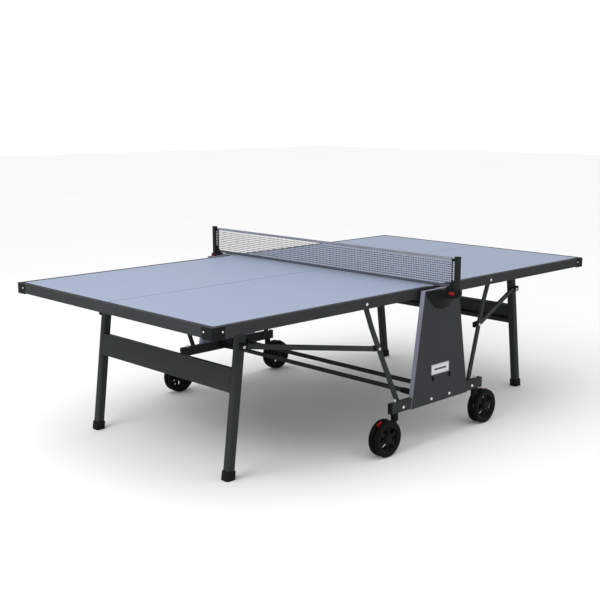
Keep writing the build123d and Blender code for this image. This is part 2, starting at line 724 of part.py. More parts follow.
with BuildPart() as net_brackets:
    extrude(to_extrude=shield_back, amount=-SHIELD_PLATE)
    loft([shield_front.face(), shield_end.face()])
    with BuildSketch(upward(0, (BOSS_INNER_Y + BOSS_OUTER_Y) / 2, BOSS_BOTTOM)):
        Rectangle(2 * BOSS_HALF_X, BOSS_OUTER_Y - BOSS_INNER_Y)
        fillet(vertices().group_by(Axis.Y)[-1], BOSS_CORNER)
    extrude(amount=SHIELD_TOP - BOSS_BOTTOM)
    with BuildSketch(upward(0, (PANEL_INNER_Y + PANEL_OUTER_Y + SHIELD_PLATE) / 2, PANEL_TOP)):
        Rectangle(2 * LIP_HALF_X, PANEL_OUTER_Y + SHIELD_PLATE - PANEL_INNER_Y)
    extrude(amount=SHIELD_TOP - PANEL_TOP)
    with BuildSketch(Plane.YZ):
        with BuildLine():
            Polyline(
                (PANEL_OUTER_Y + 6, SHIELD_TOP),
                (POST_INNER_Y, SHIELD_TOP),
                (POST_INNER_Y, SHIELD_TOP + GUSSET[1]),
                (NET_HALF_SPAN + CLEAR, NET_BOTTOM - CLEAR),
                close=True,
            )
        make_face()
    extrude(amount=GUSSET[0] / 2, both=True)
    for cheek_x in (-GUSSET[0] / 2, GUSSET[0] / 2 - CHEEK[0]):
        with BuildSketch(Plane.YZ.offset(cheek_x)):
            with BuildLine():
                Polyline((POST_INNER_Y, SHIELD_TOP), (POST_INNER_Y, CHEEK[3]), (CHEEK[2], CHEEK[3]))
                Line((CHEEK[1], SHIELD_TOP), (POST_INNER_Y, SHIELD_TOP))
                ThreePointArc((CHEEK[2], CHEEK[3]), (CHEEK[1] + 30, SHIELD_TOP + 14), (CHEEK[1], SHIELD_TOP))
            make_face()
        extrude(amount=CHEEK[0])
    with BuildSketch(upward(0, POST_Y, POST_BOTTOM)):
        RectangleRounded(*POST_SIZE, POST_CORNER)
    extrude(amount=SHIELD_TOP + GUSSET[1] - POST_BOTTOM, mode=Mode.SUBTRACT)
    with BuildSketch(endward(-BOSS_HALF_X, LEVER_Y, LEVER_Z)):
        SlotOverall(LEVER[0] + 2 * CLEAR, LEVER[1] + 2 * CLEAR)
    extrude(amount=LEVER_POCKET, mode=Mode.SUBTRACT)
    mirror(about=Plane.XZ)

with BuildPart() as net_posts:
    with BuildSketch(upward(0, POST_Y, POST_BOTTOM)):
        RectangleRounded(*POST_SIZE, POST_CORNER)
    extrude(amount=POST_TOP - POST_BOTTOM)
    chamfer(net_posts.faces().sort_by(Axis.Z)[-1].edges(), 1.5)
    mirror(about=Plane.XZ)

with BuildPart() as net_clips:
    with BuildSketch(upward(0, (NET_HALF_SPAN + POST_INNER_Y) / 2, CLIP_Z[0])):
        Rectangle(CLIP_THICKNESS, POST_INNER_Y - NET_HALF_SPAN)
    extrude(amount=CLIP_Z[1] - CLIP_Z[0])
    mirror(about=Plane.XZ)


def net_strip(bottom, top, thickness):
    """A straight strip of the net between the two posts."""
    with BuildPart() as strip:
        with BuildSketch(upward(0, 0, bottom)):
            Rectangle(thickness, 2 * NET_HALF_SPAN)
        extrude(amount=top - bottom)
    return strip.part


save(side_rails.part, "side_rails")
save(rail_end_caps.part, "rail_end_caps")
save(side_panels.part, "side_panels")
save(panel_facings.part, "panel_facings")
save(badge_plates.part, "badge_plates")
save(panel_hooks.part, "panel_hooks")
save(cross_tubes.part, "cross_tubes")
save(tube_sockets.part, "tube_sockets")
save(guide_tracks.part, "guide_tracks")
save(trolley_bolts.part, "trolley_bolts")
save(net_brackets.part, "net_brackets")
save(net_posts.part, "net_posts")
save(net_clips.part, "net_clips")
save(net_strip(NET_TOP - NET_TAPE, NET_TOP, 2 * NET_THICKNESS), "net_tape")
save(net_strip(NET_BOTTOM + NET_HEM, NET_TOP - NET_TAPE, NET_THICKNESS), "net_mesh")
save(net_strip(NET_BOTTOM, NET_BOTTOM + NET_HEM, 2 * NET_THICKNESS), "net_hem")

with BuildPart() as net_release:
    with BuildSketch(endward(-BOSS_HALF_X - LEVER_PROUD, LEVER_Y, LEVER_Z)):
        SlotOverall(*LEVER)
    extrude(amount=LEVER_SUNK + LEVER_PROUD)
    fillet(net_release.faces().sort_by(Axis.X)[0].edges(), 2.5)
save(net_release.part, "net_release_rear")
save(mirror(net_release.part, about=Plane.XZ), "net_release_front")

# ---------------------------------------------------------------- casters

AXLE_RADIUS = 5
TREAD_INNER = 68
HUB_RADIUS = 21
WINDOW_RADII = (29, 60)
WINDOWS = 6
WEB_THICKNESS = 9
NECK_RADIUS = 17
NECK_BOTTOM = 160
STEM_GAP = 0.5
FORK_RADIUS = 80
FORK_EDGE = 76
BRAKE_PIVOT_ANGLE = 100
BRAKE_PIVOT_RADIUS = 62
BRAKE_PIN = 3
BRAKE_EYE = 9
BRAKE_SWEEP = 7
BRAKE_TONGUE = 4
BRAKE_ANGLES = (54, 72)
BRAKE_RADII = (66, 91)
BRAKE_ROOT_ANGLE = 86

fork_side = Plane(origin=(WHEEL_X, STEM[1], WHEEL_RADIUS), x_dir=(1, 0, 0), z_dir=(0, -1, 0))


def polar(radius, angle):
    """A point round the wheel's axle, drawn on the side of the fork."""
    return (radius * cos(radians(angle)), radius * sin(radians(angle)))


BRAKE_PIVOT = polar(BRAKE_PIVOT_RADIUS, BRAKE_PIVOT_ANGLE)


def caster_wheel(middle_y):
    """One wheel of the twin caster: rounded tread, thin web with windows, and a hub."""
    centre = (WHEEL_X, middle_y, WHEEL_RADIUS)
    half = WHEEL_WIDTH / 2
    with BuildPart() as wheel:
        with BuildSketch(Plane(origin=centre, x_dir=(0, 1, 0), z_dir=(1, 0, 0))):
            with BuildLine():
                Line((-half, TREAD_INNER), (half, TREAD_INNER))
                Line((half, TREAD_INNER), (half, WHEEL_RADIUS - 7))
                ThreePointArc((half, WHEEL_RADIUS - 7), (0, WHEEL_RADIUS), (-half, WHEEL_RADIUS - 7))
                Line((-half, WHEEL_RADIUS - 7), (-half, TREAD_INNER))
            make_face()
            with Locations((0, (TREAD_INNER + HUB_RADIUS) / 2)):
                Rectangle(WEB_THICKNESS, TREAD_INNER - HUB_RADIUS + 2)
            with Locations((0, (HUB_RADIUS + AXLE_RADIUS + RUNNING) / 2)):
                Rectangle(WHEEL_WIDTH, HUB_RADIUS - AXLE_RADIUS - RUNNING)
        revolve(axis=Axis(centre, (0, 1, 0)))
        with BuildSketch(Plane(origin=centre, x_dir=(1, 0, 0), z_dir=(0, -1, 0))):
            with PolarLocations(0, WINDOWS, start_angle=360 / WINDOWS / 2):
                Polygon(
                    (WINDOW_RADII[0], 0),
                    polar(WINDOW_RADII[1], 22),
                    polar(WINDOW_RADII[1], -22),
                    align=None,
                )
        extrude(amount=WHEEL_WIDTH, both=True, mode=Mode.SUBTRACT)
    return wheel.part


wheel_offset = (WHEEL_GAP + WHEEL_WIDTH) / 2

fork_rim = HUB_RADIUS - 2

with BuildPart() as fork:
    with BuildSketch(fork_side):
        Circle(fork_rim)
        with BuildLine():
            Line(polar(fork_rim, 70), polar(FORK_EDGE, 92))
            Line(polar(FORK_EDGE, 92), polar(FORK_RADIUS, 112))
            ThreePointArc(polar(FORK_RADIUS, 112), polar(FORK_RADIUS, 136), polar(FORK_RADIUS, 160))
            Line(polar(FORK_RADIUS, 160), polar(fork_rim, 225))
            Line(polar(fork_rim, 225), (0, 0))
            Line((0, 0), polar(fork_rim, 70))
        make_face()
    extrude(amount=FORK_THICKNESS / 2, both=True)
    with Locations((STEM[0] + 6, STEM[1], NECK_BOTTOM - 13)):
        Box(2 * NECK_RADIUS, FORK_THICKNESS, 30)
    # The brake's tongue turns in a slot, on a pin that crosses it.
    with BuildSketch(fork_side):
        with Locations(BRAKE_PIVOT):
            Circle(BRAKE_EYE + BRAKE_SWEEP)
    extrude(amount=BRAKE_TONGUE / 2 + CLEAR, both=True, mode=Mode.SUBTRACT)
    with BuildSketch(fork_side):
        with Locations(BRAKE_PIVOT):
            Circle(BRAKE_PIN)
    extrude(amount=FORK_THICKNESS / 2, both=True)
    neck_top = RAIL_BOTTOM - STEM_GAP
    with Locations((STEM[0], STEM[1], (NECK_BOTTOM + neck_top) / 2)):
        Cylinder(NECK_RADIUS, neck_top - NECK_BOTTOM)
    with Locations((STEM[0], STEM[1], (neck_top + RAIL_TOP) / 2)):
        Cylinder(STEM_RADIUS, RAIL_TOP - neck_top)
    with Locations(outward(WHEEL_X, STEM[1], WHEEL_RADIUS)):
        Cylinder(AXLE_RADIUS, 2 * WHEEL_WIDTH + WHEEL_GAP)

with BuildPart() as brake:
    with BuildSketch(fork_side):
        with BuildLine():
            Polyline(
                polar(BRAKE_RADII[0] + 12, BRAKE_ANGLES[1] + 4),
                polar(BRAKE_RADII[0], BRAKE_ROOT_ANGLE),
                polar(BRAKE_RADII[0] - 8, BRAKE_ANGLES[1]),
                polar(BRAKE_RADII[0], BRAKE_ANGLES[0]),
                polar(BRAKE_RADII[1], BRAKE_ANGLES[0]),
            )
            ThreePointArc(
                polar(BRAKE_RADII[1], BRAKE_ANGLES[0]),
                polar(BRAKE_RADII[1], sum(BRAKE_ANGLES) / 2),
                polar(BRAKE_RADII[1], BRAKE_ANGLES[1]),
            )
            Line(polar(BRAKE_RADII[1], BRAKE_ANGLES[1]), polar(BRAKE_RADII[0] + 12, BRAKE_ANGLES[1] + 4))
        make_face()
    extrude(amount=FORK_THICKNESS / 2, both=True)
    with BuildSketch(fork_side):
        with Locations(BRAKE_PIVOT):
            Circle(BRAKE_EYE)
        with BuildLine():
            Polyline(
                (BRAKE_PIVOT[0], BRAKE_PIVOT[1] + BRAKE_EYE),
                (BRAKE_PIVOT[0], BRAKE_PIVOT[1] - BRAKE_EYE),
                polar(BRAKE_RADII[0] - 8, BRAKE_ANGLES[1]),
                polar(BRAKE_RADII[0] + 12, BRAKE_ANGLES[1] + 4),
                close=True,
            )
        make_face()
    extrude(amount=BRAKE_TONGUE / 2, both=True)
    with BuildSketch(fork_side):
        with Locations(BRAKE_PIVOT):
            Circle(BRAKE_PIN + RUNNING)
    extrude(amount=BRAKE_TONGUE, both=True, mode=Mode.SUBTRACT)

caster_parts = {
    "caster_fork": fork.part,
    "caster_wheel_outer": caster_wheel(STEM[1] + wheel_offset),
    "caster_wheel_inner": caster_wheel(STEM[1] - wheel_offset),
    "caster_brake": brake.part,
}
for name, part in caster_parts.items():
    save(part, f"{name}_rear_right")
    save(mirror(part, about=Plane.YZ), f"{name}_rear_left")
    save(mirror(part, about=Plane.XZ), f"{name}_front_right")
    save(mirror(mirror(part, about=Plane.XZ), about=Plane.YZ), f"{name}_front_left")
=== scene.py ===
# The looks of a folding table-tennis table: materials, finely built pieces, light and camera round the
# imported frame. Lengths in tables and place names are millimetres; MM takes them to metres.

from math import asin, cos, hypot, pi, radians, sin, tan

import bmesh
import bpy
from mathutils import Matrix, Vector


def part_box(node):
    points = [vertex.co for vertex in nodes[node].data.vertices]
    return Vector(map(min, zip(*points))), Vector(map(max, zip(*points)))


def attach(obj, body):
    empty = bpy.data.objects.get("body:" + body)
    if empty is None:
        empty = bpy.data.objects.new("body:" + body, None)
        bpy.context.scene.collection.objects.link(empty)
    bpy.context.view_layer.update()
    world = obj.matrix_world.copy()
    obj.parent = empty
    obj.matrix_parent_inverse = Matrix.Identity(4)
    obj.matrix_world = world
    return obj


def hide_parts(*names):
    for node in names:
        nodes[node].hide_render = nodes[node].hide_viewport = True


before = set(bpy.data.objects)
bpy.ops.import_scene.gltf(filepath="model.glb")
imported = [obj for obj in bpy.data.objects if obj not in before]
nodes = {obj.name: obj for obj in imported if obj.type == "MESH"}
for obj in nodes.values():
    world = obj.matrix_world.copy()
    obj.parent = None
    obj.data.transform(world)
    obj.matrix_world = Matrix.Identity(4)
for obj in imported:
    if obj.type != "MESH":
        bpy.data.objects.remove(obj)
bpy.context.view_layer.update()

MM = 0.001
SIDES = {"front": -1, "rear": 1}
ENDS = {"left": -1, "right": 1}


# ---------------------------------------------------------------- materials


def add(tree, kind, **inputs):
    """A shader node with some of its inputs set by name."""
    node = tree.nodes.new(kind)
    for name, value in inputs.items():
        node.inputs[name.replace("_", " ")].default_value = value
    return node


def maths(tree, operation, a, b=None):
    """A maths node; an input is a number or another node's output."""
    node = tree.nodes.new("ShaderNodeMath")
    node.operation = operation
    for socket, value in zip(node.inputs, (a, b)):
        if value is None:
            continue
        if isinstance(value, (int, float)):
            socket.default_value = value
        else:
            tree.links.new(value, socket)
    return node.outputs[0]


def blend_colour(tree, factor, low, high):
    """Mixes two colours, or colour outputs, by a factor output."""
    node = tree.nodes.new("ShaderNodeMix")
    node.data_type = "RGBA"
    tree.links.new(factor, node.inputs[0])
    for socket, value in ((node.inputs[6], low), (node.inputs[7], high)):
        if isinstance(value, tuple):
            socket.default_value = (*value, 1)
        else:
            tree.links.new(value, socket)
    return node.outputs[2]


def remap(tree, value, to_low, to_high, from_low=0.3, from_high=0.7):
    """Stretches one range of values over another."""
    node = add(tree, "ShaderNodeMapRange", From_Min=from_low, From_Max=from_high, To_Min=to_low,
               To_Max=to_high)
    tree.links.new(value, node.inputs["Value"])
    return node.outputs[0]


def shade(colour, factor):
    """A colour made darker or lighter."""
    return tuple(min(1.0, c * factor) for c in colour)


class Finish:
    """A procedural material: broad mottling, fine grain in the bump, and uneven roughness."""

    def __init__(self, name, colour, roughness, mottle=0.08, broad=4.0, grain=900.0, bump=0.15,
                 depth=0.0003, metallic=0.0, index=1.45, stretch=(1, 1, 1), uneven=0.06, wear_and_highlight=0.0,
                 wear_and_highlight_colour=(0.3, 0.3, 0.3)):
        self.material = bpy.data.materials.new(name)
        self.material.use_nodes = True
        self.material.diffuse_color = (*colour, 1)
        tree = self.tree = self.material.node_tree
        self.shader = tree.nodes["Principled BSDF"]
        self.shader.inputs["Metallic"].default_value = metallic
        self.shader.inputs["IOR"].default_value = index
        self.place = tree.nodes.new("ShaderNodeTexCoord").outputs["Object"]
        mapping = tree.nodes.new("ShaderNodeMapping")
        mapping.inputs["Scale"].default_value = stretch
        tree.links.new(self.place, mapping.inputs["Vector"])
        clouds = add(tree, "ShaderNodeTexNoise", Scale=broad, Detail=5.0)
        speck = add(tree, "ShaderNodeTexNoise", Scale=grain, Detail=3.0)
        for noise in (clouds, speck):
            tree.links.new(mapping.outputs[0], noise.inputs["Vector"])
        self.clouds, self.speck = clouds.outputs["Fac"], speck.outputs["Fac"]
        tone = maths(tree, "ADD", remap(tree, self.clouds, 0.0, 0.7), remap(tree, self.speck, 0.0, 0.3))
        self.colour = blend_colour(tree, tone, shade(colour, 1 - mottle), shade(colour, 1 + mottle))
        # Rounded edges lightened: partly paint wear, partly a painted highlight where edges catch light.
        if wear_and_highlight:
            self.add_wear_and_highlight(wear_and_highlight, wear_and_highlight_colour)
        self.rough = remap(tree, self.clouds, roughness - uneven, roughness + uneven)
        self.height = self.speck
        self.bump = add(tree, "ShaderNodeBump", Strength=bump, Distance=depth)
        tree.links.new(self.bump.outputs[0], self.shader.inputs["Normal"])
        self.join()

    def add_wear_and_highlight(self, amount, colour):
        """Lighter colour along rounded edges, broken up by the fine noise: paint wear and a painted
        highlight.
        """
        tree = self.tree
        rounded = add(tree, "ShaderNodeBevel", Radius=0.0015)
        rounded.samples = 4
        facing = tree.nodes.new("ShaderNodeNewGeometry")
        dot = tree.nodes.new("ShaderNodeVectorMath")
        dot.operation = "DOT_PRODUCT"
        tree.links.new(rounded.outputs[0], dot.inputs[0])
        tree.links.new(facing.outputs["Normal"], dot.inputs[1])
        edge = remap(tree, dot.outputs["Value"], 1.0, 0.0, 0.8, 0.99)
        broken = maths(tree, "MULTIPLY", edge, remap(tree, self.speck, 0.0, 1.0, 0.35, 0.6))
        # Painted highlight and wear: strongest where the rounded normal turns away from the face's own.
        wear_and_highlight_mask = maths(tree, "MULTIPLY", broken, amount)
        self.colour = blend_colour(tree, wear_and_highlight_mask, self.colour, colour)

    def join(self):
        """Links the colour, roughness and height to the shader."""
        self.tree.links.new(self.colour, self.shader.inputs["Base Color"])
        self.tree.links.new(self.rough, self.shader.inputs["Roughness"])
        self.tree.links.new(self.height, self.bump.inputs["Height"])
        return self

    def axis(self, index):
        """One coordinate of the surface in the table's frame."""
        split = self.tree.nodes.new("ShaderNodeSeparateXYZ")
        self.tree.links.new(self.place, split.inputs[0])
        return split.outputs[index]

    def weave(self, pitch, across, along, gap_shade_depth=0.25):
        """Over-and-under threads across two coordinates, added to the colour and the bump, with painted
        shade in the gaps between threads.
        """
        tree = self.tree
        step = pi / pitch
        wave_a = maths(tree, "SINE", maths(tree, "MULTIPLY", self.axis(across), step))
        wave_b = maths(tree, "SINE", maths(tree, "MULTIPLY", self.axis(along), step))
        threads = maths(tree, "ABSOLUTE", maths(tree, "MULTIPLY", wave_a, wave_b))
        # Painted shade: the colour darkens towards near-black in the gaps between threads.
        dark = remap(tree, threads, gap_shade_depth, 0.0, 0.0, 1.0)
        self.colour = blend_colour(tree, dark, self.colour, THREAD_GAP_SHADE)
        self.height = maths(tree, "ADD", maths(tree, "MULTIPLY", self.speck, 0.4), threads)
        return self.join()


# The near-black of the painted shade between woven threads.
THREAD_GAP_SHADE = (0.02, 0.02, 0.022)
PAINT = (0.036, 0.039, 0.0395)
# Paints and plastics given an edge amount get lighter rounded edges: wear and a painted highlight.
frame_paint = Finish("frame_paint", PAINT, 0.55, mottle=0.10, grain=1600, bump=0.22, depth=0.0002,
                     index=1.09, wear_and_highlight=0.4, wear_and_highlight_colour=(0.09, 0.095, 0.10))
leg_paint = Finish("leg_paint", (0.028, 0.030, 0.030), 0.5, mottle=0.12, grain=1300, bump=0.22,
                   depth=0.0002, index=1.16, wear_and_highlight=0.4, wear_and_highlight_colour=(0.08, 0.085, 0.09))
black_plastic = Finish("black_plastic", (0.0075, 0.008, 0.0085), 0.5, mottle=0.2, grain=1800, bump=0.25,
                       depth=0.0002, index=1.16, wear_and_highlight=0.3, wear_and_highlight_colour=(0.04, 0.04, 0.045))
post_plastic = Finish("post_plastic", (0.015, 0.0155, 0.0165), 0.5, mottle=0.15, grain=1600, bump=0.2,
                      depth=0.0002, index=1.16, wear_and_highlight=0.3, wear_and_highlight_colour=(0.05, 0.05, 0.055))
rubber = Finish("black_rubber", (0.010, 0.010, 0.0105), 0.7, mottle=0.25, grain=700, bump=0.35, index=1.16,
                uneven=0.1)
tyre_rubber = Finish("tyre_rubber", (0.0060, 0.0062, 0.0065), 0.5, mottle=0.25, grain=500, bump=0.2,
                     index=1.12, uneven=0.12)
rim_plastic = Finish("rim_plastic", (0.0085, 0.0088, 0.0092), 0.42, mottle=0.15, grain=1500, bump=0.15,
                     index=1.16, wear_and_highlight=0.25, wear_and_highlight_colour=(0.03, 0.03, 0.035))
panel_core = Finish("panel_core", (0.19, 0.20, 0.26), 0.5, mottle=0.06, broad=9, grain=700, bump=0.12,
                    index=1.3, stretch=(1, 1, 4))
panel_face = Finish("panel_face", (0.036, 0.038, 0.0395), 0.6, mottle=0.08, broad=3, grain=1100, bump=0.18,
                    depth=0.0002, index=1.16, stretch=(1, 1, 0.6))
zinc = Finish("zinc", (0.80, 0.81, 0.83), 0.28, mottle=0.08, broad=120, grain=2200, bump=0.2, metallic=1.0)
steel = Finish("steel", (0.40, 0.41, 0.43), 0.34, mottle=0.1, broad=30, grain=900, bump=0.15, metallic=1.0,
               stretch=(1, 0.1, 1))
red_plastic = Finish("red_plastic", (0.30, 0.006, 0.010), 0.34, mottle=0.1, broad=90, grain=2200, bump=0.12,
                     index=1.3)
net_cord = Finish("net_cord", (0.007, 0.0075, 0.009), 0.8, mottle=0.3, broad=60, grain=2500, bump=0.5,
                  index=1.15)
lace = Finish("white_lace", (0.62, 0.62, 0.62), 0.8, mottle=0.1, broad=80, grain=3000, bump=0.5)
THREAD = 1.6 * MM
tape_cloth = Finish("tape_cloth", (0.26, 0.278, 0.315), 0.85, mottle=0.12, broad=12, grain=1800, bump=0.5,
                    depth=0.0006, index=1.16).weave(THREAD, 1, 2)
hem_cloth = Finish("hem_cloth", (0.085, 0.097, 0.125), 0.85, mottle=0.15, broad=12, grain=1800, bump=0.5,
                   depth=0.0006, index=1.16).weave(THREAD, 1, 2)

SURFACE = (0.262, 0.310, 0.428)
CENTRE_LINE = 5 * MM
LINE_COLOUR = (0.045, 0.055, 0.075)
UNDERSIDE = (0.03, 0.031, 0.034)
BOARD_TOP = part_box("board_right")[1].z


def board_finish():
    """The laminate's pale playing colour with its dark centre line, and a darker underside and edge."""
    finish = Finish("board_laminate", SURFACE, 0.5, mottle=0.025, broad=2.0, grain=1500, bump=0.16,
                    depth=0.0002, index=1.3, uneven=0.04)
    tree = finish.tree
    across = maths(tree, "ABSOLUTE", finish.axis(1))
    middle = maths(tree, "LESS_THAN", across, CENTRE_LINE / 2)
    finish.colour = blend_colour(tree, middle, finish.colour, LINE_COLOUR)
    under = maths(tree, "LESS_THAN", finish.axis(2), BOARD_TOP - 1 * MM)
    finish.colour = blend_colour(tree, under, finish.colour, UNDERSIDE)
    return finish.join()


board_laminate = board_finish()


def inner_apron_finish():
    """Frame paint, with the strip beside the net in the laminate's colour."""
    finish = Finish("inner_apron_paint", PAINT, 0.5, mottle=0.05, broad=2.0, grain=1500, bump=0.18,
                    depth=0.0002, index=1.25)
    tree = finish.tree
    top = maths(tree, "GREATER_THAN", finish.axis(2), BOARD_TOP - 0.5 * MM)
    middle = maths(tree, "LESS_THAN", maths(tree, "ABSOLUTE", finish.axis(1)), CENTRE_LINE / 2)
    mottled = remap(tree, finish.clouds, 0.0, 1.0)
    laminate = blend_colour(tree, mottled, shade(SURFACE, 0.975), shade(SURFACE, 1.025))
    laminate = blend_colour(tree, middle, laminate, LINE_COLOUR)
    finish.colour = blend_colour(tree, top, finish.colour, laminate)
    return finish.join()


inner_apron_paint = inner_apron_finish()


def badge_finish():
    """A blank pale plate with a grey border and a plain dark bar."""
    finish = Finish("badge_plate", (0.60, 0.61, 0.63), 0.35, mottle=0.04, broad=25, grain=1600, bump=0.1)
    tree = finish.tree
    low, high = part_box("badge_plates")
    centre = (low + high) / 2
    x = maths(tree, "ABSOLUTE", maths(tree, "SUBTRACT", finish.axis(0), centre.x))
    z = maths(tree, "ABSOLUTE", maths(tree, "SUBTRACT", finish.axis(2), centre.z))
    half_x, half_z = (high.x - low.x) / 2, (high.z - low.z) / 2
    border_width, bar_half_x, bar_half_z = 5 * MM, 46 * MM, 5 * MM
    border = maths(tree, "MAXIMUM", maths(tree, "GREATER_THAN", x, half_x - border_width),
                   maths(tree, "GREATER_THAN", z, half_z - border_width))
    bar = maths(tree, "MULTIPLY", maths(tree, "LESS_THAN", x, bar_half_x),
                maths(tree, "LESS_THAN", z, bar_half_z))
    finish.colour = blend_colour(tree, border, finish.colour, (0.25, 0.26, 0.27))
    finish.colour = blend_colour(tree, bar, finish.colour, (0.04, 0.04, 0.045))
    return finish.join()


badge_plate = badge_finish()

# ---------------------------------------------------------------- mesh helpers


def new_piece(name, verts, faces, finish, body, stands_for=(), slot=None, smooth=35, face_finish=None,
              finishes=()):
    """A mesh piece with its material, riding on a body. face_finish gives an index for each face."""
    mesh = bpy.data.meshes.new(name)
    mesh.from_pydata([tuple(v) for v in verts], [], faces)
    bm = bmesh.new()
    bm.from_mesh(mesh)
    bmesh.ops.remove_doubles(bm, verts=bm.verts, dist=1e-6)
    if not face_finish:
        bmesh.ops.recalc_face_normals(bm, faces=bm.faces)
    bm.to_mesh(mesh)
    bm.free()
    for extra in (finish, *finishes):
        mesh.materials.append(extra.material)
    if face_finish:
        for polygon, index in zip(mesh.polygons, face_finish):
            polygon.material_index = index
    mesh.shade_smooth()
    mesh.set_sharp_from_angle(angle=radians(smooth))
    piece = bpy.data.objects.new(name, mesh)
    bpy.context.scene.collection.objects.link(piece)
    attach(piece, body)
    if stands_for:
        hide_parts(*stands_for)
    return piece


class Shape:
    """Vertices and faces gathered from several forms."""

    def __init__(self):
        self.verts, self.faces, self.tags = [], [], []

    def add(self, verts, faces, tag=0):
        """Adds a form; tag is the index of its finish."""
        start = len(self.verts)
        self.verts += [Vector(v) for v in verts]
        self.faces += [tuple(start + i for i in face) for face in faces]
        self.tags += [tag] * len(faces)
        return self

    def moved(self, matrix):
        """A copy taken through a matrix, with its faces kept outward."""
        copy = Shape()
        copy.verts = [matrix @ v for v in self.verts]
        flip = matrix.determinant() < 0
        copy.faces = [tuple(reversed(f)) if flip else f for f in self.faces]
        copy.tags = list(self.tags)
        return copy

    def join(self, other):
        """Adds another shape, with its finishes."""
        return self.add(other.verts, other.faces).retag(other.tags)

    def retag(self, tags):
        """Gives the last faces added their own finishes."""
        if tags:
            self.tags[-len(tags):] = tags
        return self

    def piece(self, name, finish, body, finishes=(), **kw):
        """Makes the shape into a mesh piece that rides on a body."""
        tags = self.tags if finishes else None
        return new_piece(name, self.verts, self.faces, finish, body, finishes=finishes, face_finish=tags,
                         **kw)


def rings(loops, close_ends=True, closed=False):
    """Faces that join equal rings of points one after another."""
    count = len(loops[0])
    verts = [v for loop in loops for v in loop]
    faces = []
    spans = len(loops) if closed else len(loops) - 1
    for r in range(spans):
        a, b = r * count, ((r + 1) % len(loops)) * count
        for i in range(count):
            j = (i + 1) % count
            faces.append((a + i, a + j, b + j, b + i))
    if close_ends and not closed:
        faces.append(tuple(reversed(range(count))))
        faces.append(tuple(range(len(verts) - count, len(verts))))
    return verts, faces


def lathe(profile, sides, closed=False, radius_at=None):
    """Turns a profile of (radius, height) about Z; radius_at may bend a ring's radius by angle."""
    loops = []
    for k, (radius, height) in enumerate(profile):
        loop = []
        for i in range(sides):
            a = 2 * pi * i / sides
            r = radius_at(k, radius, a) if radius_at else radius
            loop.append(Vector((r * cos(a), r * sin(a), height)))
        loops.append(loop)
    return rings(loops, close_ends=not closed, closed=closed)


def tube(points, radius, sides=6):
    """A round strand that follows points; each ring faces along the path."""
    loops = []
    up = Vector((0, 0, 1))
    for i, point in enumerate(points):
        ahead = Vector(points[min(i + 1, len(points) - 1)]) - Vector(points[max(i - 1, 0)])
        ahead.normalize()
        side = ahead.cross(up if abs(ahead.z) < 0.9 else Vector((1, 0, 0))).normalized()
        other = side.cross(ahead)
        angles = [2 * pi * k / sides for k in range(sides)]
        loops.append([Vector(point) + radius * (cos(a) * side + sin(a) * other) for a in angles])
    return rings(loops)


def rounded_rect(width, height, radius, steps=4):
    """Points round a rectangle with rounded corners, anticlockwise."""
    points = []
    for cx, cy, start in ((1, 1, 0), (-1, 1, 90), (-1, -1, 180), (1, -1, 270)):
        for i in range(steps + 1):
            a = radians(start + 90 * i / steps)
            points.append((cx * (width / 2 - radius) + radius * cos(a),
                           cy * (height / 2 - radius) + radius * sin(a)))
    return points


def block(width, depth, height, radius, edge):
    """A rounded block that stands on Z=0, with an eased top and bottom edge."""
    loops = []
    for z, inset in ((0, edge), (edge * 0.3, edge * 0.3), (edge, 0), (height - edge, 0),
                     (height - edge * 0.3, edge * 0.3), (height, edge)):
        outline = rounded_rect(width - 2 * inset, depth - 2 * inset, max(radius - inset, 0.1 * MM))
        loops.append([Vector((x, y, z)) for x, y in outline])
    return rings(loops)


def pointing(direction, at=(0, 0, 0)):
    """A matrix that takes +Z to a direction and the origin to a place."""
    turn = Vector(direction).to_track_quat("Z", "Y").to_matrix().to_4x4()
    return Matrix.Translation(Vector(at)) @ turn


# ---------------------------------------------------------------- CAD nodes that keep their shape


def dress(node, finish, width=0.8, angle=35):
    """Gives a CAD node its material, and eases its edges by a width in millimetres."""
    thing = nodes[node]
    thing.data.materials.clear()
    thing.data.materials.append(finish.material)
    if width:
        weld = thing.modifiers.new("weld", "WELD")
        weld.merge_threshold = 1e-5
        flat = thing.modifiers.new("flat", "DECIMATE")
        flat.decimate_type = "DISSOLVE"
        flat.angle_limit = radians(0.5)
        ease = thing.modifiers.new("ease", "BEVEL")
        ease.width = width * MM
        ease.segments = 2
        ease.limit_method = "ANGLE"
        ease.angle_limit = radians(angle)
        ease.use_clamp_overlap = True
        thing.modifiers.new("even", "WEIGHTED_NORMAL")


dress("side_rails", frame_paint, 0.5)
dress("rail_end_caps", black_plastic, 0.5)
dress("side_panels", panel_core, 1.0)
dress("panel_facings", panel_face, 0.6)
dress("badge_plates", badge_plate, 0.5)
dress("panel_hooks", black_plastic, 0.6)
dress("cross_tubes", frame_paint, 0)
dress("tube_sockets", black_plastic, 0.8)
dress("guide_tracks", black_plastic, 0.6)
dress("net_posts", post_plastic, 0.8)
for end in ENDS:
    dress(f"board_{end}", board_laminate, 0)
    for node in ("side_aprons", "end_apron"):
        dress(f"{node}_{end}", frame_paint, 0.6)
    dress(f"inner_apron_{end}", inner_apron_paint, 0.4)
    dress(f"corner_caps_{end}", black_plastic, 1.2)
    dress(f"ribs_{end}", frame_paint, 0.5)
    dress(f"leg_brackets_{end}", black_plastic, 0.6)
    dress(f"guide_shaft_{end}", steel, 0.5)
    dress(f"arms_{end}", frame_paint, 0.8)
    dress(f"braces_{end}", frame_paint, 0.8)
    dress(f"leg_frame_{end}", leg_paint, 0.6)
for side in SIDES:
    for end in ENDS:
        dress(f"caster_fork_{side}_{end}", black_plastic, 0.8)
        dress(f"caster_brake_{side}_{end}", red_plastic, 0.8)

# ---------------------------------------------------------------- bolts


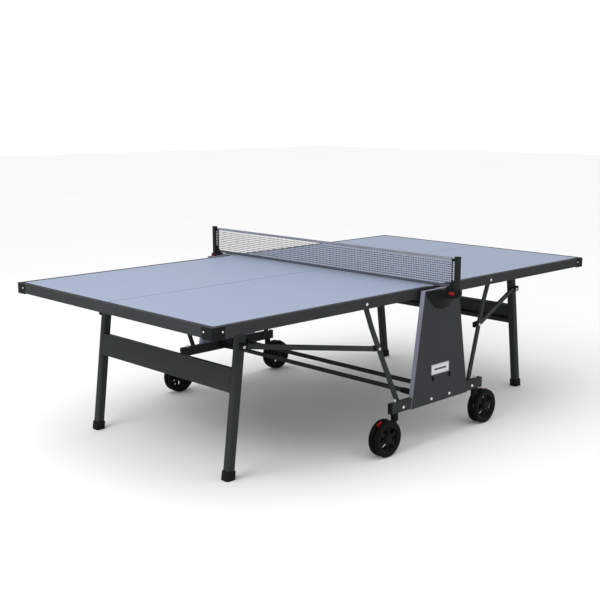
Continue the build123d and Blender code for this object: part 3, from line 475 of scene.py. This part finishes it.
def socket_bolt(radius, height, shank, length):
    """A domed bolt head with a hexagonal socket, on a flange, with its shank below."""
    key = 0.42 * radius
    profile = [
        (shank, -length), (shank, 0), (radius, 0), (radius, 0.25 * height), (0.97 * radius, 0.42 * height),
        (0.86 * radius, 0.70 * height), (0.68 * radius, 0.92 * height), (0.55 * radius, height),
        (key * 1.1, height), (key, 0.93 * height), (key, 0.35 * height),
    ]

    def hexagon(k, r, a):
        if k < len(profile) - 3:
            return r
        return r * cos(radians(30)) / cos((a % radians(60)) - radians(30))

    return Shape().add(*lathe(profile, 36, radius_at=hexagon))


def cap_nut(radius, height):
    """A hexagonal nut with a domed cap, on a washer."""
    profile = [
        (radius, 0), (radius, 0.12 * height), (0.9 * radius, 0.13 * height), (0.9 * radius, 0.5 * height),
        (0.84 * radius, 0.56 * height), (0.66 * radius, 0.60 * height), (0.63 * radius, 0.78 * height),
        (0.45 * radius, 0.93 * height), (0.2 * radius, height),
    ]

    def hexagon(k, r, a):
        if k not in (2, 3):
            return r
        return r * cos(radians(30)) / cos((a % radians(60)) - radians(30)) * 0.97

    return Shape().add(*lathe(profile, 36, radius_at=hexagon))


# Places in millimetres, on the right and rear side; ENDS and SIDES mirror them.
TABLE_HALF_LENGTH, TABLE_HALF_WIDTH = 1370, 762.5
ARM_TOP, ARM_FOOT = (475, 734), (268, 218)
CAP_BOLT = (TABLE_HALF_LENGTH - 52, TABLE_HALF_WIDTH - 52, 738)
CAP_FACE = 2
LEG_HINGE = (1009.8, 714)
BRACE_LEG = (1025.2, 592)
LEG_Y = 515
LEG_HALF_SPAN = 24.6
ARM_SPACERS = ((754.4, 9), (736.6, 8))
RAIL_OUTER_Y, RAIL_TOP, PANEL_OUTER_Y = 812, 249, 820
PANEL_BOLT = (70, 220)
STEM = (312, 794)


def placed(shape, direction, x, y, z):
    """A form that stands on Z=0, moved to a place in millimetres and turned to a direction."""
    return shape.moved(pointing(direction, (x * MM, y * MM, z * MM)))


# The bolt kinds, each made once: head radius, head height, shank radius and shank length.
arm_bolt = socket_bolt(7 * MM, 3.5 * MM, 4 * MM, 28 * MM)
cap_bolt = socket_bolt(4.4 * MM, 1.6 * MM, 2.5 * MM, 5 * MM)
hinge_bolt = socket_bolt(8 * MM, 4 * MM, 5 * MM, 2 * LEG_HALF_SPAN * MM)
hinge_nut = cap_nut(8 * MM, 5 * MM)
rail_bolt = socket_bolt(7.5 * MM, 4 * MM, 4 * MM, 20 * MM)
stem_nut = cap_nut(8 * MM, 13 * MM)
brace_bolt = socket_bolt(7.6 * MM, 4.6 * MM, 4 * MM, 0.8 * MM)

for end, sx in ENDS.items():
    bolts = Shape()
    for sy in SIDES.values():
        side_face, end_face = sy * (TABLE_HALF_WIDTH + CAP_FACE), sx * (TABLE_HALF_LENGTH + CAP_FACE)
        outward, inward = (0, sy, 0), (0, -sy, 0)
        bolts.join(placed(arm_bolt, outward, sx * ARM_TOP[0], sy * TABLE_HALF_WIDTH, ARM_TOP[1]))
        for spacer_y, radius in ARM_SPACERS:
            across = 2 * radius * MM
            spacer = Shape().add(*block(across, across, 5 * MM, 0.98 * radius * MM, 0.5 * MM))
            bolts.join(placed(spacer, outward, sx * ARM_TOP[0], sy * spacer_y, ARM_TOP[1]))
        bolts.join(placed(cap_bolt, outward, sx * CAP_BOLT[0], side_face, CAP_BOLT[2]))
        bolts.join(placed(cap_bolt, (sx, 0, 0), end_face, sy * CAP_BOLT[1], CAP_BOLT[2]))
        hinge_x, hinge_z = sx * LEG_HINGE[0], LEG_HINGE[1]
        bolts.join(placed(hinge_bolt, outward, hinge_x, sy * (LEG_Y + LEG_HALF_SPAN), hinge_z))
        bolts.join(placed(hinge_nut, inward, hinge_x, sy * (LEG_Y - LEG_HALF_SPAN), hinge_z))
    bolts.piece(f"bolts_{end}", zinc, f"half_{end}", stands_for=(f"frame_bolts_{end}",), slot="bolts")

trolley_bolts = Shape()
for sx in ENDS.values():
    for sy in SIDES.values():
        outward = (0, sy, 0)
        trolley_bolts.join(placed(rail_bolt, outward, sx * ARM_FOOT[0], sy * RAIL_OUTER_Y, ARM_FOOT[1]))
        trolley_bolts.join(placed(rail_bolt, outward, sx * PANEL_BOLT[0], sy * PANEL_OUTER_Y, PANEL_BOLT[1]))
        trolley_bolts.join(placed(stem_nut, (0, 0, 1), sx * STEM[0], sy * STEM[1], RAIL_TOP))
trolley_bolts.piece("bolts_trolley", zinc, "trolley", stands_for=("trolley_bolts",), slot="bolts")

# ---------------------------------------------------------------- net

mesh_low, mesh_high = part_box("net_mesh")
tape_low, tape_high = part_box("net_tape")
hem_low, hem_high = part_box("net_hem")
ROWS = 11
row_pitch = (mesh_high.z - mesh_low.z) / ROWS
COLUMNS = round((mesh_high.y - mesh_low.y) / row_pitch)
column_pitch = (mesh_high.y - mesh_low.y) / COLUMNS
ROW_CORD = 1.24 * MM
COLUMN_CORD = 0.80 * MM
OVER = 0.45 * MM
ROW_SAG = 0.35 * MM
COLUMN_BOW = 0.3 * MM

net = Shape()
for row in range(1, ROWS):
    z = mesh_low.z + row * row_pitch
    path = []
    for k in range(2 * COLUMNS + 1):
        y = mesh_low.y + k * column_pitch / 2
        path.append((OVER * cos(pi * (k / 2 + row)), y, z - ROW_SAG * sin(pi * k / 2) ** 2))
    net.add(*tube(path, ROW_CORD))
for column in range(1, COLUMNS):
    y = mesh_low.y + column * column_pitch
    path = []
    for k in range(2 * ROWS + 1):
        z = mesh_low.z + k * row_pitch / 2
        path.append((-OVER * cos(pi * (k / 2 + column)), y + COLUMN_BOW * sin(pi * k / 2) ** 2, z))
    net.add(*tube(path, COLUMN_CORD))
KNOT_RADIUS, KNOT_HALF = 1.15 * MM, 0.95 * MM
knot_profile = [(0.2, -1.0), (0.75, -0.6), (1.0, 0.0), (0.75, 0.6), (0.2, 1.0)]
knot = Shape().add(*lathe([(r * KNOT_RADIUS, h * KNOT_HALF) for r, h in knot_profile], 6))
for row in range(1, ROWS):
    for column in range(1, COLUMNS):
        at = (0, mesh_low.y + column * column_pitch, mesh_low.z + row * row_pitch)
        net.join(knot.moved(pointing((1, 0, 0), at)))
net_strands = net.piece("net_strands", net_cord, "trolley", stands_for=("net_mesh",), slot="net_cord",
                        smooth=80)


# Each leaf of the tape from its fold to its edge: a share of the height, and how far out it stands.
LEAF = ((0.75, 0.9), (0.45, 0.9), (0.22, 0.9), (0.12, 0.62), (0.0, 0.8))
STITCH_OUT = 1.75 * MM


def folded_strip(low, high, fold_up):
    """A doubled strip of tape: a soft fold along one edge, two stitched leaves below it."""
    half, height = (high.x - low.x) / 2, high.z - low.z
    outline = []
    for i in range(9):
        a = pi * i / 8
        outline.append((half * cos(a), height - half + half * sin(a)))
    outline += [(-half * out, share * height) for share, out in LEAF]
    outline += [(half * out, share * height) for share, out in reversed(LEAF)]
    loops = []
    steps = 220
    for k in range(steps + 1):
        y = low.y + (high.y - low.y) * k / steps
        ripple = 0.12 * MM * sin(k * 0.9) + 0.1 * MM * sin(k * 0.31 + 1)
        loop = []
        for x, z in outline:
            height_at = low.z + z if fold_up else high.z - z
            loop.append(Vector((x + ripple * 0.6, y, height_at)))
        loops.append(loop)
    return Shape().add(*rings(loops))


def stitches(x, z, low_y, high_y, pitch=4.0 * MM, length=2.6 * MM):
    """A row of short raised stitches along Y."""
    row = Shape()
    count = int((high_y - low_y) / pitch)
    for k in range(count):
        y = low_y + (k + 0.5) * pitch
        path = [(x * 0.9, y - length / 2, z), (x * 1.05, y, z), (x * 0.9, y + length / 2, z)]
        row.add(*tube(path, 0.22 * MM, 4))
    return row


tape = folded_strip(tape_low, tape_high, True)
for sx in (-1, 1):
    tape.join(stitches(sx * STITCH_OUT, tape_low.z + 3.4 * MM, tape_low.y, tape_high.y))
net_tape = tape.piece("net_tape_woven", tape_cloth, "trolley", stands_for=("net_tape",), slot="net_tape",
                      smooth=60)
hem = folded_strip(hem_low, hem_high, False)
for sx in (-1, 1):
    hem.join(stitches(sx * STITCH_OUT, hem_high.z - 3.6 * MM, hem_low.y, hem_high.y))
net_hem = hem.piece("net_hem_woven", hem_cloth, "trolley", stands_for=("net_hem",), slot="net_tape",
                    smooth=60)

POST_Y, CLIP_INNER_Y, CLIP_OUTER_Y = 906, 871, 893
CLIP_Z = (792, 907)
EYELETS, EYELET_PITCH = 9, 10
EYELET = [(2.0, 0), (2.6, 0.3), (2.6, 0.8), (2.0, 1.0), (1.3, 0.6)]
eyelet = Shape().add(*lathe([(r * MM, h * MM) for r, h in EYELET], 16))

clips, laces = Shape(), Shape()
for sy in SIDES.values():
    strip = Shape().add(*block(5 * MM, 9 * MM, (CLIP_Z[1] - CLIP_Z[0]) * MM, 1.2 * MM, 0.8 * MM))
    clips.join(strip.moved(Matrix.Translation((0, sy * (CLIP_INNER_Y + 4.5) * MM, CLIP_Z[0] * MM))))
    arm_y = (CLIP_INNER_Y + CLIP_OUTER_Y) / 2
    for width, height, z in ((8, 13, CLIP_Z[1] - 13), (7, 8, CLIP_Z[0])):
        arm = Shape().add(*block(width * MM, 22 * MM, height * MM, 2 * MM, 1 * MM))
        clips.join(arm.moved(Matrix.Translation((0, sy * arm_y * MM, z * MM))))
    for k in range(EYELETS):
        z = CLIP_Z[0] + 14 + k * EYELET_PITCH
        for sx in (-1, 1):
            clips.join(placed(eyelet, (sx, 0, 0), sx * 2.4, sy * (CLIP_INNER_Y + 5), z))
        wrap = []
        for i in range(13):
            a = 2 * pi * i / 12
            wrap.append((3.2 * MM * cos(a), sy * (884.5 + 8.6 * sin(a)) * MM, (z + 5 * i / 12) * MM))
        laces.add(*tube(wrap, 1.35 * MM, 8))
clips.piece("net_clips_laced", black_plastic, "trolley", stands_for=("net_clips",), slot="black_plastic")
laces.piece("net_laces", lace, "trolley", slot="net_tape", smooth=80)

post_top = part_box("net_posts")[1].z
post_tops = Shape()
for sy in SIDES.values():
    cap = Shape().add(*block(24 * MM, 27.6 * MM, 7 * MM, 4.5 * MM, 1.6 * MM))
    post_tops.join(cap.moved(Matrix.Translation((0, sy * POST_Y * MM, post_top - 6.8 * MM))))
post_tops.piece("post_tops", black_plastic, "trolley", slot="black_plastic")

# ---------------------------------------------------------------- post brackets

SHIELD = {"top": 757, "half_top": 127, "side": (118, 725), "shoulder": (90, 701), "tip": 656}
BOSS = {"half": 22, "bottom": 712, "inner": 858, "outer": 928}
BOSS_LIFT = 20
PANEL_INNER_Y = 792
BUTTON_Y, BUTTON_Z = 892, 742


def shield_loop(half_top, side, shoulder, tip, top, steps=10):
    """Points round a shield: straight top, sides that taper in two steps, round bottom."""
    points = []
    for i in range(steps):
        points.append((-half_top + 2 * half_top * i / steps, top))
    flank = [(half_top, top), side, shoulder]
    right = []
    for (x0, z0), (x1, z1) in zip(flank, flank[1:]):
        right += [(x0 + (x1 - x0) * i / steps, z0 + (z1 - z0) * i / steps) for i in range(steps)]
    points += right
    drop = shoulder[1] - tip
    radius = (shoulder[0] ** 2 + drop ** 2) / (2 * drop)
    span = asin(min(1, shoulder[0] / radius))
    for i in range(2 * steps + 1):
        a = span * (1 - i / steps)
        points.append((radius * sin(a), tip + radius - radius * cos(a)))
    points += [(-x, z) for x, z in reversed(right[1:])]
    return points


def shield():
    """The shield on the panel, drawn out in a hollow curve to the boss that holds the post."""
    base = shield_loop(**SHIELD)
    half, bottom = BOSS["half"], BOSS["bottom"]
    end = shield_loop(half, (half, bottom + 24), (half, bottom + 6), bottom, SHIELD["top"])
    loops = []

    def ring(y, share, squeeze=1.0, inset=0.0):
        """One outline, share of the way from the boss's to the shield's; its foot lifts near the post."""
        loop = []
        lift = BOSS_LIFT * max(0, (y - 890) / 38) ** 1.2
        for (bx, bz), (ex, ez) in zip(base, end):
            x, z = ex + (bx - ex) * share, ez + (bz - ez) * share
            middle = (SHIELD["top"] + BOSS["bottom"]) / 2
            z = middle + (z - middle) * (1 - inset)
            z += lift * (SHIELD["top"] - z) / (SHIELD["top"] - BOSS["bottom"])
            loop.append(Vector((x * squeeze * MM, y * MM, z * MM)))
        loops.append(loop)

    ring(PANEL_OUTER_Y, 1.0)
    ring(PANEL_OUTER_Y + 2, 1.0)
    ring(PANEL_OUTER_Y + 3, 0.985)
    steps = 16
    for i in range(1, steps + 1):
        v = i / steps
        ring(PANEL_OUTER_Y + 3 + (BOSS["inner"] - PANEL_OUTER_Y - 3) * v, 0.985 * (1 - v) ** 2.1)
    for i in range(1, 5):
        ring(BOSS["inner"] + (BOSS["outer"] - 18 - BOSS["inner"]) * i / 4, 0)
    for i in range(1, 10):
        a = radians(90) * i / 9
        ring(BOSS["outer"] - 18 + 18 * sin(a), 0, (6 + 16 * cos(a)) / 22, 0.10 * (1 - cos(a)))
    return Shape().add(*rings(loops))


def net_foot():
    """The rib and two cheeks that hold the net's lower corner."""
    shape = Shape()
    rib = []
    for x, ease in ((-4, 1.0), (-3, 0.0), (3, 0.0), (4, 1.0)):
        rib.append([Vector((x * MM, y * MM, z * MM)) for y, z in (
            (PANEL_OUTER_Y + 6 + ease, 756), (894, 756), (894, 785 - ease), (890, 781 - ease),
            (884, 773 - ease), (876, 766.5 - ease), (868, 763.5 - ease), (850, 760 - ease))])
    shape.add(*rings(rib))
    for x0, x1 in ((2.5, 4.1), (-4.1, -2.5)):
        cheek = []
        for x, ease in ((x0, 0.4), (x0 + 0.3, 0), (x1 - 0.3, 0), (x1, 0.4)):
            edge = [(837 + ease, 756), (838 + ease, 759), (858 + ease, 773 - ease),
                    (874 + ease, 788 - ease), (879, 792 - ease), (894, 792 - ease), (894, 756)]
            cheek.append([Vector((x * MM, y * MM, z * MM)) for y, z in edge])
        shape.add(*rings(cheek))
    return shape


def solidly_cut(name, shape, cutter):
    """The shape with a cutter taken away, as plain vertices and faces."""
    objects = []
    for part, form in ((name, shape), (name + "_cutter", cutter)):
        mesh = bpy.data.meshes.new(part)
        mesh.from_pydata([tuple(v) for v in form.verts], [], form.faces)
        bm = bmesh.new()
        bm.from_mesh(mesh)
        bmesh.ops.remove_doubles(bm, verts=bm.verts, dist=1e-6)
        bmesh.ops.recalc_face_normals(bm, faces=bm.faces)
        bm.to_mesh(mesh)
        bm.free()
        thing = bpy.data.objects.new(part, mesh)
        bpy.context.scene.collection.objects.link(thing)
        objects.append(thing)
    target, tool = objects
    cut = target.modifiers.new("cut", "BOOLEAN")
    cut.object = tool
    cut.operation = "DIFFERENCE"
    cut.solver = "EXACT"
    depsgraph = bpy.context.evaluated_depsgraph_get()
    made = bpy.data.meshes.new_from_object(target.evaluated_get(depsgraph))
    result = Shape().add([v.co for v in made.vertices], [tuple(p.vertices) for p in made.polygons])
    for thing in objects:
        bpy.data.objects.remove(thing)
    return result


def oval(width, height, depth, edge):
    """A long round-ended button that stands on Z=0, with a rounded face."""
    loops = []
    for z, inset in ((0, 0), (depth - edge, 0), (depth - 0.6 * edge, 0.12 * edge),
                     (depth - 0.25 * edge, 0.45 * edge), (depth, edge)):
        outline = rounded_rect(width - 2 * inset, height - 2 * inset, (height / 2 - inset) * 0.999, 8)
        loops.append([Vector((x, y, z)) for x, y in outline])
    return rings(loops)


# Takes a form that stands on Z=0 to one that faces -X, with its width along Y.
facing_left = Matrix(((0, 0, -1, 0), (1, 0, 0, 0), (0, 1, 0, 0), (0, 0, 0, 1)))
pocket = Shape().add(*oval(30.8 * MM, 14.8 * MM, 14 * MM, 0.1 * MM)).moved(
    Matrix.Translation((-12.5 * MM, BUTTON_Y * MM, BUTTON_Z * MM)) @ facing_left)
rear_bracket = solidly_cut("bracket", shield(), pocket).join(net_foot())
flip_y = Matrix.Scale(-1, 4, (0, 1, 0))
brackets = Shape().join(rear_bracket).join(rear_bracket.moved(flip_y))
lips = Shape()
for sy in SIDES.values():
    lip = Shape().add(*block(64 * MM, (PANEL_OUTER_Y - PANEL_INNER_Y - 0.6) * MM, 2 * MM, 3 * MM, 0.4 * MM))
    lips.join(lip.moved(Matrix.Translation((0, sy * (PANEL_INNER_Y + PANEL_OUTER_Y) / 2 * MM, 755 * MM))))
lips.piece("bracket_lips", panel_core, "trolley", slot="panel_core")
brackets.piece("post_brackets", black_plastic, "trolley", stands_for=("net_brackets",), slot="black_plastic")

button = Shape().add(*oval(30 * MM, 14 * MM, 11 * MM, 3 * MM))
for k in (-1.5, -0.5, 0.5, 1.5):
    ridge = Shape().add(*block(1.4 * MM, 9 * MM, 0.9 * MM, 0.6 * MM, 0.35 * MM))
    button.join(ridge.moved(Matrix.Translation((k * 4.4 * MM, 0, 10.7 * MM))))
for side, sy in SIDES.items():
    place = Matrix.Translation((-16 * MM, sy * BUTTON_Y * MM, BUTTON_Z * MM)) @ facing_left
    button.moved(place).piece(f"release_button_{side}", red_plastic, f"release_{side}",
                              stands_for=(f"net_release_{side}",), slot="red")

# ---------------------------------------------------------------- casters

WHEEL_X = STEM[0] + 67
WHEEL_WIDTH = 22.5
WHEEL_OFFSET = 17.75
AXLE_Z = 88
WINDOWS = 6


def wheel_shape():
    """A wheel about the Y axis: a grooved tyre on a rim, a web with six windows, ribs and a hub."""
    half = WHEEL_WIDTH / 2
    side = [(66.5, half - 2.5), (68, half - 0.6), (70, half), (80, half), (83.4, half - 0.9),
            (86, half - 3.0)]
    crown = [(86.9, 6.6), (87.2, 5.6), (86.0, 5.1), (86.0, 4.3), (87.5, 3.8), (88, 0)]
    upper = side + crown
    profile = upper + [(r, -w) for r, w in reversed(upper[:-1])]
    shape = Shape().add(*lathe([(r * MM, w * MM) for r, w in profile], 120, closed=True), tag=1)
    rim_side = [(60.5, 8.4), (62, 9.6), (66.6, 9.6), (67.6, 8.6)]
    rim = rim_side + [(r, -w) for r, w in reversed(rim_side)]
    shape.add(*lathe([(r * MM, w * MM) for r, w in rim], 96, closed=True))
    hub_side = [(5.1, half), (8.5, half), (9.2, half - 1.2), (13, half - 1.2), (14, half), (19.6, half),
                (21, half - 1.4), (21.5, 3.4)]
    hub = hub_side + [(r, -w) for r, w in reversed(hub_side)]
    shape.add(*lathe([(r * MM, w * MM) for r, w in hub], 60, closed=True))
    disc = ((20, 3), (62, 3), (62, -3), (20, -3))
    web = Shape().add(*lathe([(r * MM, w * MM) for r, w in disc], 96, closed=True))
    cutters = Shape()
    for k in range(WINDOWS):
        corners = [(27.5, -12), (27.5, 12), (60, 22), (60, -22)]
        points = [(r * cos(radians(a)), r * sin(radians(a))) for r, a in corners]
        outline = []
        for i in range(4):
            here, before, after = points[i], points[i - 1], points[(i + 1) % 4]
            for j in range(5):
                s = j / 4
                a = [here[n] + (before[n] - here[n]) * 0.2 for n in (0, 1)]
                b = [here[n] + (after[n] - here[n]) * 0.2 for n in (0, 1)]
                outline.append([(1 - s) ** 2 * a[n] + 2 * s * (1 - s) * here[n] + s * s * b[n]
                                for n in (0, 1)])
        loops = [[Vector((x * MM, y * MM, z * MM)) for x, y in outline] for z in (-9, 9)]
        step = 360 / WINDOWS
        window = Matrix.Rotation(radians((k + 0.5) * step), 4, "Z")
        cutters.join(Shape().add(*rings(loops)).moved(window))
        rib = Shape().add(*block(41 * MM, 4 * MM, 12 * MM, 1.2 * MM, 1.2 * MM))
        place = Matrix.Rotation(radians(k * step), 4, "Z") @ Matrix.Translation((41.5 * MM, 0, -6 * MM))
        shape.join(rib.moved(place))
    shape.join(solidly_cut("web", web, cutters))
    return shape.moved(Matrix.Rotation(radians(-90), 4, "X"))


wheel = wheel_shape()
hub_cap = Shape().add(*lathe([(r * MM, h * MM) for r, h in (
    (7.6, -2), (7.6, 0.2), (7.0, 1.2), (5.4, 1.9), (5.0, 1.5), (2.4, 1.5), (2.0, 2.2), (0.5, 2.4))], 32))
GRIP_ANGLES = (56, 60, 64, 68)
GRIP_RADIUS = 90.6
COLLAR = ((17.3, 160), (18.6, 161), (18.6, 166), (17.4, 167.5), (17.4, 178), (18.2, 179), (18.2, 182),
          (17.4, 183), (17.4, 194), (16.4, 196.2))
collar = Shape().add(*lathe([(r * MM, z * MM) for r, z in COLLAR], 48))
ridge = Shape().add(*block(1.6 * MM, 9 * MM, 1.2 * MM, 0.7 * MM, 0.4 * MM))

for side, sy in SIDES.items():
    for end, sx in ENDS.items():
        corner = f"{side}_{end}"
        for which, way in (("outer", 1), ("inner", -1)):
            y = sy * (STEM[1] + way * WHEEL_OFFSET)
            turn = Matrix.Rotation(radians(34.5 - 2.5 * sy), 4, "Y")
            place = Matrix.Translation((sx * WHEEL_X * MM, y * MM, AXLE_Z * MM)) @ turn
            wheel.moved(place).piece(f"wheel_{which}_{corner}", rim_plastic, f"wheel_{which}_{corner}",
                                     finishes=(tyre_rubber,), stands_for=(f"caster_wheel_{which}_{corner}",),
                                     slot="wheel")
        caps = Shape()
        for way in (1, -1):
            y = sy * STEM[1] + way * (WHEEL_WIDTH + 6.5)
            caps.join(placed(hub_cap, (0, way, 0), sx * WHEEL_X, y, AXLE_Z))
        caps.piece(f"hub_caps_{corner}", black_plastic, f"fork_{corner}", slot="black_plastic")
        ridges = Shape()
        for angle in GRIP_ANGLES:
            a = radians(angle)
            at = (sx * (WHEEL_X + GRIP_RADIUS * cos(a)) * MM, sy * STEM[1] * MM,
                  (AXLE_Z + GRIP_RADIUS * sin(a)) * MM)
            ridges.join(ridge.moved(pointing((sx * cos(a), 0, sin(a)), at)))
        ridges.piece(f"brake_grip_{corner}", red_plastic, f"brake_{corner}", slot="red")
        collar.moved(Matrix.Translation((sx * STEM[0] * MM, sy * STEM[1] * MM, 0))).piece(
            f"caster_collar_{corner}", black_plastic, f"fork_{corner}", slot="black_plastic")

# ---------------------------------------------------------------- feet, brace ends and small fittings

tilt = radians(7.2)
LEG_FOOT_X = 1100
FOOT_SIZE, FOOT_CORNER, FOOT_TOP = 50, 10, 42
# A foot's height, and how far it stands out there: a tread edge and two grooves.
FOOT_PROFILE = ((0, -1.5), (1.2, -0.3), (3, 0), (9, 0.2), (10.5, -1.2), (12.5, -1.2), (14, 0.1), (20, -0.1),
                (21.5, -1.4), (23.5, -1.4), (25, -0.2), (37, -0.6), (40.5, -1.4), (41.8, -3.2), (42, -4.8))
for end, sx in ENDS.items():
    feet = Shape()
    for sy in SIDES.values():
        loops = []
        for z, grow in FOOT_PROFILE:
            size = (FOOT_SIZE + 2 * grow) * MM
            outline = rounded_rect(size, size, (FOOT_CORNER + grow) * MM, 5)
            x0 = LEG_FOOT_X - z * tan(tilt)
            slope = 0 if z < 3 else sin(tilt) * 0.6 * (z / FOOT_TOP)
            loops.append([Vector((sx * (x0 * MM + x / cos(tilt) * 0.995), sy * LEG_Y * MM + y,
                                  z * MM + x * slope)) for x, y in outline])
        feet.add(*rings(loops))
    feet.piece(f"rubber_feet_{end}", rubber, f"legs_{end}", stands_for=(f"feet_{end}",), slot="black_rubber")

ARM_LENGTH = hypot(ARM_TOP[0] - ARM_FOOT[0], ARM_TOP[1] - ARM_FOOT[1])
BRACE_DOWN_ARM = 240
BRACE_ARM = tuple(a + BRACE_DOWN_ARM / ARM_LENGTH * (f - a) for a, f in zip(ARM_TOP, ARM_FOOT))
BRACE_LENGTH = hypot(BRACE_LEG[0] - BRACE_ARM[0], BRACE_LEG[1] - BRACE_ARM[1])
run_x = (BRACE_ARM[0] - BRACE_LEG[0]) / BRACE_LENGTH
run_z = (BRACE_ARM[1] - BRACE_LEG[1]) / BRACE_LENGTH

for end, sx in ENDS.items():
    sleeves = Shape()
    for sy in SIDES.values():
        for pivot, y, way in ((BRACE_LEG, 543.9, -1), (BRACE_ARM, 740, 1)):
            sleeve = Shape().add(*block(28 * MM, 14 * MM, 44 * MM, 3 * MM, 1.5 * MM))
            ring_a = Shape().add(*block(29.6 * MM, 15.2 * MM, 3 * MM, 3.5 * MM, 0.9 * MM))
            sleeve.join(ring_a.moved(Matrix.Translation((0, 0, 1 * MM))))
            start = (pivot[0] - way * 22 * run_x, y, pivot[1] - way * 22 * run_z)
            local = Matrix(((way * run_z, 0, way * run_x, 0), (0, 1, 0, 0),
                            (-way * run_x, 0, way * run_z, 0), (0, 0, 0, 1)))
            right = Matrix.Translation([c * MM for c in start]) @ local
            mirror = Matrix.Scale(sx, 4, (1, 0, 0)) @ Matrix.Scale(sy, 4, (0, 1, 0))
            sleeves.join(sleeve.moved(mirror @ right))
    sleeves.piece(f"brace_ends_{end}", black_plastic, f"braces_{end}", slot="black_plastic")
    for pivot, y, name, body in ((BRACE_LEG, 550.6, "brace_bolts", "braces"),
                                 (BRACE_ARM, 762.6, "arm_bolts", "arms")):
        heads = Shape()
        for sy in SIDES.values():
            heads.join(placed(brace_bolt, (0, sy, 0), sx * pivot[0], sy * (y - 0.4), pivot[1]))
        heads.piece(f"{name}_{end}", zinc, f"{body}_{end}", slot="bolts")

CUP = ((5.9, -0.4), (5.9, 0.35), (6.4, 0.7), (8.2, 0.7), (9.0, 0.1), (9.0, -0.4))
cup = Shape().add(*lathe([(r * MM, h * MM) for r, h in CUP], 40, closed=True))
for end, sx in ENDS.items():
    washers = Shape()
    for sy in SIDES.values():
        for direction, x, y in (((0, sy, 0), CAP_BOLT[0], TABLE_HALF_WIDTH + CAP_FACE),
                                ((sx, 0, 0), TABLE_HALF_LENGTH + CAP_FACE, CAP_BOLT[1])):
            washers.join(placed(cup, direction, sx * x, sy * y, CAP_BOLT[2]))
    washers.piece(f"cap_rings_{end}", black_plastic, f"half_{end}", slot="black_plastic")

# Weld beads where the crossbar meets the legs: offsets along and across, and the bead's radius.
CROSSBAR_MIDDLE, BEAD_LENGTH = 437, 104
BEADS = ((-9.5, 20.4, 1.5), (17.1, 17.4, 3.1))
for end, sx in ENDS.items():
    beads = Shape()
    for sy in SIDES.values():
        for along, across, radius in BEADS:
            path = []
            for k in range(41):
                z = CROSSBAR_MIDDLE + BEAD_LENGTH * (k / 40 - 0.5)
                x = LEG_FOOT_X - z * tan(tilt) + along
                path.append((sx * x * MM, sy * (LEG_Y - across) * MM, (z + 0.4 * sin(k * 1.7)) * MM))
            beads.add(*tube(path, radius * MM, 12))
    beads.piece(f"weld_beads_{end}", leg_paint, f"legs_{end}", slot="frame", smooth=80)

# ---------------------------------------------------------------- floor, light and camera

floor_finish = Finish("floor", (0.90, 0.90, 0.90), 0.85, index=1.15, mottle=0.01, broad=0.6, grain=60,
                      bump=0.03)
FLOOR_SIZE, FLOOR_LEVEL, CELLS = 60, -0.5 * MM, 12
floor_mesh = bpy.data.meshes.new("floor")
row_length = CELLS + 1
floor_verts = [((i / CELLS - 0.5) * FLOOR_SIZE, (j / CELLS - 0.5) * FLOOR_SIZE, FLOOR_LEVEL)
               for j in range(row_length) for i in range(row_length)]
corners = [j * row_length + i for j in range(CELLS) for i in range(CELLS)]
floor_faces = [(c, c + 1, c + row_length + 1, c + row_length) for c in corners]
floor_mesh.from_pydata(floor_verts, [], floor_faces)
floor_mesh.materials.append(floor_finish.material)
floor = bpy.data.objects.new("floor", floor_mesh)
bpy.context.scene.collection.objects.link(floor)

world = bpy.data.worlds.new("studio")
bpy.context.scene.world = world
world.use_nodes = True
sky = world.node_tree
height = sky.nodes.new("ShaderNodeSeparateXYZ")
sky.links.new(sky.nodes.new("ShaderNodeTexCoord").outputs["Generated"], height.inputs[0])
ramp = sky.nodes.new("ShaderNodeValToRGB")
sky.links.new(height.outputs["Z"], ramp.inputs[0])
# The sky's strength from the horizon to straight overhead.
SKY = ((0.0, 1.08), (0.14, 1.08), (0.34, 0.88), (0.62, 0.85), (0.85, 1.2), (1.0, 1.35))
SKY_FULL = 2.0
for _ in SKY[2:]:
    ramp.color_ramp.elements.new(0.5)
for element, (place, strength) in zip(ramp.color_ramp.elements, SKY):
    element.position = place
    element.color = (strength / SKY_FULL, strength / SKY_FULL, strength / SKY_FULL, 1)
sky.links.new(ramp.outputs[0], sky.nodes["Background"].inputs["Color"])
sky.nodes["Background"].inputs["Strength"].default_value = SKY_FULL


def area_light(name, place, target, size, power):
    """A round soft light aimed at a target."""
    light = bpy.data.lights.new(name, "AREA")
    light.shape = "DISK"
    light.size = size
    light.energy = power
    lamp = bpy.data.objects.new(name, light)
    bpy.context.scene.collection.objects.link(lamp)
    lamp.location = place
    lamp.rotation_euler = (Vector(target) - Vector(place)).to_track_quat("-Z", "Y").to_euler()


area_light("key", (-4.2, -0.2, 3.6), (0, 0, 0.4), 3.0, 100)

EYE = (-3.77839, -3.77931, 1.59369)
PITCH, HEADING = 10.637, -45
SENSOR = 36
LENS, SHIFT = 1.676575 * SENSOR, -0.037195
camera = bpy.data.cameras.new("camera")
camera.sensor_width = SENSOR
camera.lens = LENS
camera.shift_x = SHIFT
camera.clip_start, camera.clip_end = 0.05, 200
eye = bpy.data.objects.new("camera", camera)
bpy.context.scene.collection.objects.link(eye)
eye.location = EYE
eye.rotation_euler = (radians(90 - PITCH), 0, radians(HEADING))
bpy.context.scene.camera = eye
bpy.context.scene.view_settings.view_transform = "Standard"
